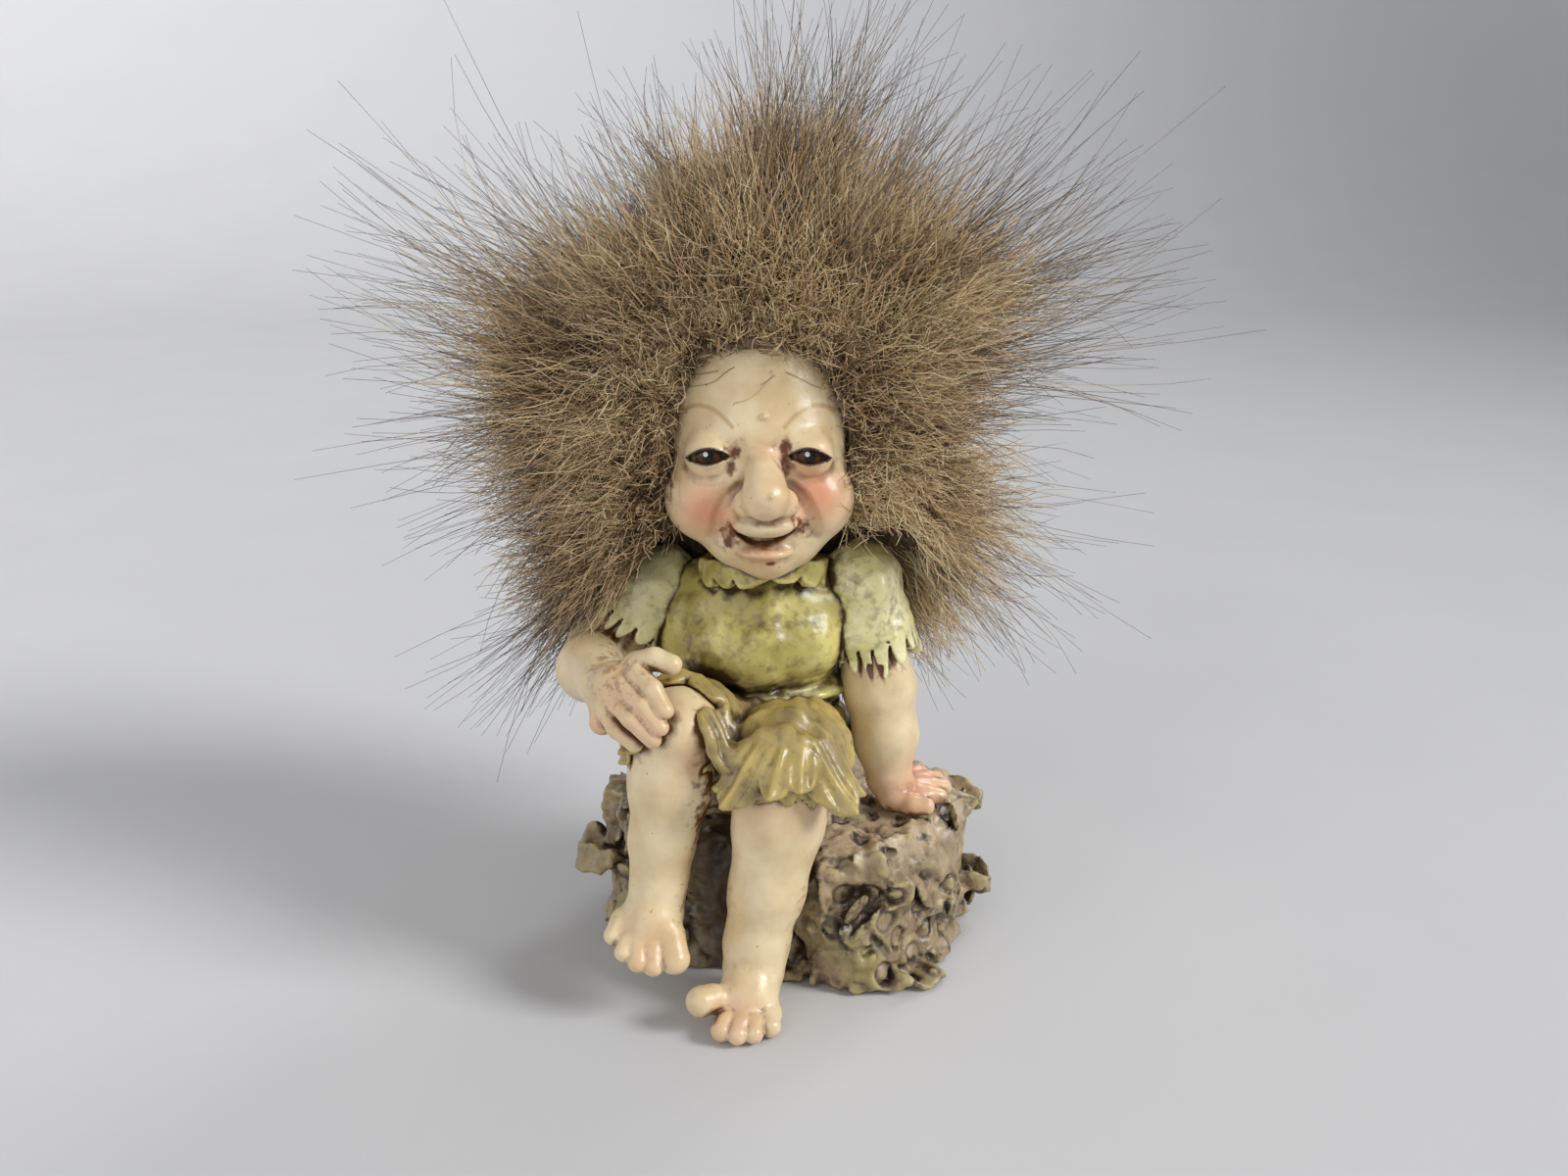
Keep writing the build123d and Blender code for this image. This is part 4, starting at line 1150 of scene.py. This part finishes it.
# Coats: each a material and its slot in the record
skin = skin_paint(), "skin"
bark = bark_paint(), "bark"
eye_paint = eye_gloss(), "eye"
felt = felt_cloth(), "felt"
knit = knit_cloth(), "wig_backing"
matted = matted_fur(), "wig_fur"
tunic_cloth = cloth_paint_shader(
    "tunic_paint", (0.68, 0.60, 0.21), (0.36, 0.30, 0.07), (0.075, 0.040, 0.014)
), "tunic_cloth"
sleeve_cloth = cloth_paint_shader(
    "sleeve_paint", (0.88, 0.83, 0.50), (0.62, 0.57, 0.23), (0.085, 0.047, 0.016)
), "sleeve_cloth"
trouser_cloth = cloth_paint_shader(
    "trouser_paint", (0.54, 0.41, 0.125), (0.27, 0.20, 0.08), (0.075, 0.040, 0.016)
), "trouser_cloth"
underfur_fibre = hair_fibre(
    "underfur", (0.10, 0.06, 0.03), (0.66, 0.43, 0.21), (1.0, 0.87, 0.54), (0.60, 0.42, 0.23), 0.7
), "wig_fur"
guard_fibre = hair_fibre(
    "guard_hair", (0.12, 0.075, 0.04), (0.42, 0.28, 0.145), (0.80, 0.62, 0.37), (0.05, 0.04, 0.036), 0.55
), "wig_fur"


# Resin pieces
bark_cell, cloth_cell, sleeve_cell, skin_cell, head_cell, eye_cell = 0.34, 0.28, 0.26, 0.24, 0.22, 0.13
fabric_cell = 0.3
# Right leg stains are partly painted shade: the long dark bands down the inner side of the shin, towards
# the stump
right_leg_paint = limb_paint(
    [(right_knee + at(2.4, -3, -1.5), 3.6, 0.5), (at(-18, -26, 9.5), 3.5, 0.35)],
    [(right_knee + at(-3.4, -2, -1), at(2.6, 3, 1.6), 0.7), (at(-10.6, -17, 26), at(2.0, 7, 12), 1.2),
     (at(-13.6, -18, 12), at(1.6, 5, 6), 0.9), (at(-18, -24.6, 10.2), at(4.5, 1.6, 1.4), 0.6)],
)
# Left leg stains are partly painted shade: the dark bands down the sides of the shin
left_leg_paint = limb_paint(
    [(left_knee + at(0, -4, -3), 4.0, 0.35), (at(-7, -30, 2), 4.0, 0.45)],
    [(left_knee + at(0, -5, -1.6), at(5, 3, 1.3), 0.7), (at(1.8, -19, 10), at(2.0, 6, 8), 0.9),
     (at(-6, -28.6, 2.6), at(4.0, 1.4, 1.6), 0.6), (at(-7.4, -19, 16), at(1.4, 5, 9), 0.5)],
)
right_arm_paint = limb_paint(
    [(at(-16, -24, 39), 2.6, 0.45), (at(-23.4, -17, 37.6), 2.2, 0.8), (at(-20, -21, 41), 4.5, 0.4)],
    [(at(-22.4, -12, 44.5), at(3, 5, 2.5), 0.45), (at(-16.8, -20.6, 45.2), at(1.4, 1.4, 0.9), 0.6),
     (at(-20, -19, 42.5), 4.5, 0.5), (at(-21.5, -3, 45.0), at(4, 4, 2), 0.6)],
)
left_arm_paint = limb_paint(
    [(at(16, -4, 21), 5.2, 1.0), (at(18.6, 1.5, 21.5), 3.2, 0.8)],
    [(at(14, -6, 20.4), at(3.4, 2, 0.8), 0.7), (at(13, -5, 40), at(5, 3, 1.4), 0.5)],
)
casts = (  # node, field, corners of its box, grid cell, coat, neighbours, paint and reach of the wash and painted shade
    ("stump", stump_field, (-36, -28, -0.5), (34, 28, 24), bark_cell, bark,
     (right_leg_form, left_leg_form), stump_paint, 1.8),
    ("right_leg", right_leg_field, (-26, -31, 4), (-6, -10, 44), skin_cell, skin,
     (stump_field, trousers_field, right_arm_field), right_leg_paint),
    ("left_leg", left_leg_field, (-15, -35, -0.5), (8, -12, 41), skin_cell, skin,
     (stump_field, trousers_field), left_leg_paint),
    ("trousers", trousers_field, (-25, -30, 17), (12, 16, 47), cloth_cell, trouser_cloth,
     (tunic_field, right_leg_field, left_leg_field, right_arm_field), cloth_paint),
    ("tunic", tunic_field, (-22, -15, 28), (14, 14, 58), cloth_cell, tunic_cloth,
     (trousers_field, right_sleeve_field, left_sleeve_field, head_field, right_arm_field, left_arm_field),
     cloth_paint),
    ("right_sleeve", right_sleeve_field, (-33, -9, 36), (-9, 11, 58), sleeve_cell, sleeve_cloth,
     (tunic_field, right_arm_field), cloth_paint),
    ("left_sleeve", left_sleeve_field, (0, -11, 33), (22, 10, 59), sleeve_cell, sleeve_cloth,
     (tunic_field, left_arm_field), cloth_paint),
    ("right_arm", right_arm_field, (-33, -29, 33), (-10, 8, 56), skin_cell, skin,
     (right_sleeve_field, trousers_field, right_leg_field), right_arm_paint),
    ("left_arm", left_arm_field, (3, -11, 17), (25, 8, 57), skin_cell, skin,
     (left_sleeve_field, stump_field), left_arm_paint),
    ("head", head_field, (-18, -23, 44), (10, 15, 91), head_cell, skin, (tunic_field,), head_paint, 1.2),
)
for row in casts:
    sculpture(*row)


def eye_marks(side):
    """Pupil, white and painted glint of an eye."""
    centre = eye_middle(side)

    def paint(p):
        ring = np.hypot(p[:, 0] - centre[0] - 0.1, p[:, 2] - centre[2] - 0.1)
        glint = np.hypot(p[:, 0] - centre[0] + 0.25, p[:, 2] - centre[2] - 0.5)
        return {
            "pupil": clamp(1.5 - ring / 0.75),
            "white": clamp(ring - 1.25),
            "glint": clamp(1.5 - glint / 0.30) * (p[:, 1] < centre[1]),
        }
    return paint


for side, node in ((-1, "right_eye"), (1, "left_eye")):
    low, high = eye_middle(side) - 4, eye_middle(side) + 4
    marks = eye_marks(side)
    sculpture(node, eye_field(side), low, high, eye_cell, eye_paint, (), marks, 0.5, f"{node}_ball")


# Felt pad under the stump
pad_low, pad_high = node_box("felt_pad")
pad_middle = (pad_low + pad_high) / 2


def felt_field(p):
    q = (p - pad_middle) / ((pad_high - pad_low) / 2)
    rim = (np.linalg.norm(q[:, :2], axis=1) - 0.985) * (pad_high - pad_low)[1] / 2
    flat = np.abs(p[:, 2] - pad_middle[2]) - (pad_high - pad_low)[2] * 0.47
    return cut(rim, -flat, 0.2) + 0.05 * noise(p, 0.9, 91)


sculpture("felt_pad", felt_field, pad_low - 1.2, pad_high + 1.2, fabric_cell, felt, name="felt_disc")


# Wig pieces
def backing_field(p):
    """Knitted cap over the skull, behind the hairline."""
    skull = skull_form(p)
    wall = np.abs(skull - 0.75) - 0.45 + 0.12 * noise(p, 0.9, 95)
    front = np.minimum(face_gap(p) + 0.5, 3.0 - p[:, 1])
    cap = common(wall, front, 60 - p[:, 2])
    hem = np.hypot(face_gap(p) + 0.5, skull - 0.4) - 0.55 + 0.5 * noise(p, 1.0, 96)
    return join(0.3, cap, common(hem, 74 - p[:, 2], p[:, 1] - 3.0))


sculpture("wig_backing", backing_field, (-20, -16, 56), (12, 18, 92), fabric_cell, knit, name="wig_cap")
mane_low, mane_high, mane_cell = at(-46, -18, 22), at(40, 40, 116), 0.6
mane_grid = sample(mane_field, mane_low, mane_high, mane_cell)
mane_points, mane_quads = surface_net(mane_grid, mane_low, mane_cell)
mane_normals = corner_normals(mane_points, mane_quads)
mesh_piece("fur_mat", mane_points, mane_quads, *matted, ["wig_pile"])

tuft_tips = np.concatenate(([tip for tip, _, _ in tufts], lock_tips))
tuft_spreads = np.concatenate(([spread for _, spread, _ in tufts], np.full(lock_count, 3.5)))
tuft_weights = np.concatenate(([weight for _, _, weight in tufts], np.full(lock_count, 0.35)))
tuft_ways = unit(tuft_tips - mane_middle)


def pick_roots(count):
    """Random places just inside the matted fur, and the directions straight out there."""
    chosen = draw.integers(0, len(mane_points), count)
    return mane_points[chosen] - mane_normals[chosen] * 0.8, mane_normals[chosen]


def sway(p, size, seed):
    """Smooth random directions, alike for hairs that grow close together."""
    return np.stack([noise(p, size, seed + axis) for axis in range(3)], 1)


def underfur(count):
    roots, normals = pick_roots(count)
    reach = np.linalg.norm(roots - mane_middle, axis=1)[:, None]
    way = (roots - mane_middle) / reach + 0.3 * normals
    way = way + 0.8 * sway(roots, 6, 86) + 0.5 * sway(roots, 2.5, 89)
    way = unit(way + draw.normal(0, 0.36, (count, 3)))
    ends = draw.uniform(0.74, 1.0, (count, 1)) + 0.09 * draw.standard_exponential((count, 1))
    length = np.clip(reach * (ends / mane_share(roots)[:, None] - 1), 4, 17)
    frizz = 0.6 + 0.5 * clamp(1.3 - length[:, :, None] / 10)
    paths = strand_paths(roots, roots + way * length, frizz, draw.uniform(1.2, 3.0, (count, 1, 1)), 8)
    return paths[clear_of_figure(paths)]


def guard_hairs(count):
    owner = draw.choice(len(tuft_tips), count, p=tuft_weights / tuft_weights.sum())
    roots, _ = pick_roots(count * 8)
    matched = np.argmax(unit(roots - mane_middle) @ tuft_ways.T, axis=1)
    chosen = draw.integers(0, len(roots), count)
    for tuft in range(len(tuft_tips)):
        places = np.flatnonzero(owner == tuft)
        pool = np.flatnonzero(matched == tuft)
        if len(pool):
            chosen[places] = draw.choice(pool, len(places))
    start = roots[chosen]
    tips = tuft_tips[owner] + draw.normal(0, 1, (count, 3)) * tuft_spreads[owner][:, None] * 0.8
    reach = draw.uniform(0.4, 1.0, (count, 1))
    waves = draw.uniform(0.3, 1.0, (count, 1, 1))
    paths = strand_paths(start, start + (tips - start) * reach, 0.45, waves, 8, 0.16)
    return paths[clear_of_figure(paths)]


def hairline_curls(count):
    """Short matted curls along the edge of the wig, over the sides of the face and the brow."""
    turn = draw.uniform(math.radians(-38), math.radians(218), count)
    edge = draw.uniform(0.97, 1.12, (count, 1))
    circle = np.stack((np.cos(turn), 0 * turn, np.sin(turn)), 1)
    rim = np.sign(circle) * np.abs(circle) ** (2 / face_power)
    roots = face_middle + rim * face_opening * edge
    roots[:, 1] = -13.5
    for _ in range(24):
        roots[:, 1] += np.clip(skull_form(roots), 0, 2) * 0.8
    way = unit(rim + at(0, -0.5, 0) + draw.normal(0, 0.45, (count, 3)))
    tips = roots + way * draw.uniform(2.5, 8, (count, 1))
    return strand_paths(roots + at(0, 0.5, 0), tips, 0.5, draw.uniform(1.0, 2.4, (count, 1, 1)), 7)


def brow_hairs(count):
    """A few loose hairs that lie across the forehead."""
    roots = np.stack((draw.uniform(-9, 3, count), np.full(count, -9.0), draw.uniform(80, 84, count)), 1)
    ends = roots + np.stack((draw.uniform(-8, 8, count), np.zeros(count), draw.uniform(-4, -1, count)), 1)
    paths = strand_paths(roots, ends, 0.5, draw.uniform(0.3, 0.7, (count, 1, 1)), 16)
    flat = paths.reshape(-1, 3)
    flat[:, 1] = -16.0
    for _ in range(30):
        flat[:, 1] += np.clip(head_field(flat) - 0.12, 0, 2) * 0.8
    return flat.reshape(paths.shape)


def fur_pieces(name, paths, radii, coat, per_piece):
    """Hairs of one kind, with radii at root and tip, in pieces of at most so many hairs."""
    order = np.array_split(np.arange(len(paths)), math.ceil(len(paths) / per_piece))
    for number, chosen in enumerate(order, 1):
        points, faces, masks = strand_mesh(paths[chosen], *radii)
        mesh_piece(f"{name}_{number}", points, faces, *coat, ["wig_pile"], masks)


fur_pieces("underfur", underfur(count=42000), (0.078, 0.042), underfur_fibre, per_piece=4400)
fur_pieces("hairline_curls", hairline_curls(count=4200), (0.07, 0.04), underfur_fibre, per_piece=5000)
fur_pieces("brow_hairs", brow_hairs(count=10), (0.045, 0.03), guard_fibre, per_piece=5000)
fur_pieces("guard_hairs", guard_hairs(count=8000), (0.08, 0.03), guard_fibre, per_piece=4000)


# Floor, light and camera
def pale_floor():
    """Pale card that grows lighter up the wall."""
    s = Shader("pale_floor", Roughness=0.6)
    place = s.node("ShaderNodeTexCoord").outputs["Object"]
    split = s.node("ShaderNodeSeparateXYZ")
    s.feed(split.inputs[0], place)
    card = s.mix(s.grain(40.0, 2.0), (0.60, 0.60, 0.61), (0.64, 0.64, 0.65))
    return s.finish(s.mix(s.levels(split.outputs["Z"], 0.0, 0.4), card, (0.74, 0.74, 0.76)))


dish_flat, dish_curve, dish_rim = 0.8, 0.5, 0.6  # radius of the flat, radius of its rise, height
dish_sides, dish_steps = 72, 18


def round_dish():
    """Points and faces of a round card, flat under the figure and rising on every side."""
    profile = [(dish_flat, 0.0)]
    for step in range(1, dish_steps + 1):
        turn = math.radians(90 / dish_steps * step)
        profile.append((dish_flat + dish_curve * math.sin(turn), dish_curve * (1 - math.cos(turn))))
    profile.append((dish_flat + dish_curve, dish_rim))
    turns = [2 * math.pi * side / dish_sides for side in range(dish_sides)]
    points = [(r * math.cos(turn), r * math.sin(turn), z) for r, z in profile for turn in turns]
    faces = [tuple(range(dish_sides))]
    for row, side in itertools.product(range(len(profile) - 1), range(dish_sides)):
        near, far = row * dish_sides, (row + 1) * dish_sides
        ahead = (side + 1) % dish_sides
        faces.append((near + side, far + side, far + ahead, near + ahead))
    return points, faces


floor_points, floor_faces = round_dish()
floor_mesh = bpy.data.meshes.new("floor")
floor_mesh.from_pydata(floor_points, [], floor_faces)
floor_mesh.polygons.foreach_set("use_smooth", [True] * len(floor_faces))
floor = bpy.data.objects.new("floor", floor_mesh)
bpy.context.collection.objects.link(floor)
floor_mesh.materials.append(pale_floor())


def lamp(name, place, target, size, power, kind="AREA"):
    """Lamp aimed at a target; its size is a width in metres, or an angle for a sun."""
    light = bpy.data.lights.new(name, kind)
    light.energy = power
    if kind == "SUN":
        light.angle = size
    else:
        light.size = size
    holder = bpy.data.objects.new(name, light)
    bpy.context.collection.objects.link(holder)
    aim = unit(at(*target) - at(*place))
    holder.location = place
    holder.rotation_euler = (math.acos(-aim[2]), 0, math.atan2(-aim[0], aim[1]))


figure_middle = (0, 0, 0.06)
lamp("key", (0.85, -0.28, 0.62), figure_middle, math.radians(22), 2.6, "SUN")
lamp("fill", (-0.45, -0.6, 0.4), figure_middle, 0.8, 2.0)
lamp("rim", (0.5, 0.7, 0.6), figure_middle, math.radians(20), 0.7, "SUN")

world = bpy.data.worlds.new("studio")
world.use_nodes = True
world.node_tree.nodes["Background"].inputs["Color"].default_value = (0.80, 0.81, 0.83, 1)
world.node_tree.nodes["Background"].inputs["Strength"].default_value = 0.40
scene = bpy.context.scene
scene.world = world
scene.view_settings.view_transform = "Standard"

photo_width = 1600
focal_pixels = 1500
camera_place = (-0.0007, -0.1894, 0.1076)
camera_pitch = 17.0
camera_data = bpy.data.cameras.new("camera")
camera_data.sensor_width = 36.0
camera_data.lens = camera_data.sensor_width * focal_pixels / photo_width
camera_data.clip_start = 0.005
camera = bpy.data.objects.new("camera", camera_data)
bpy.context.collection.objects.link(camera)
camera.location = camera_place
camera.rotation_euler = (math.radians(90 - camera_pitch), 0, 0)
scene.camera = camera
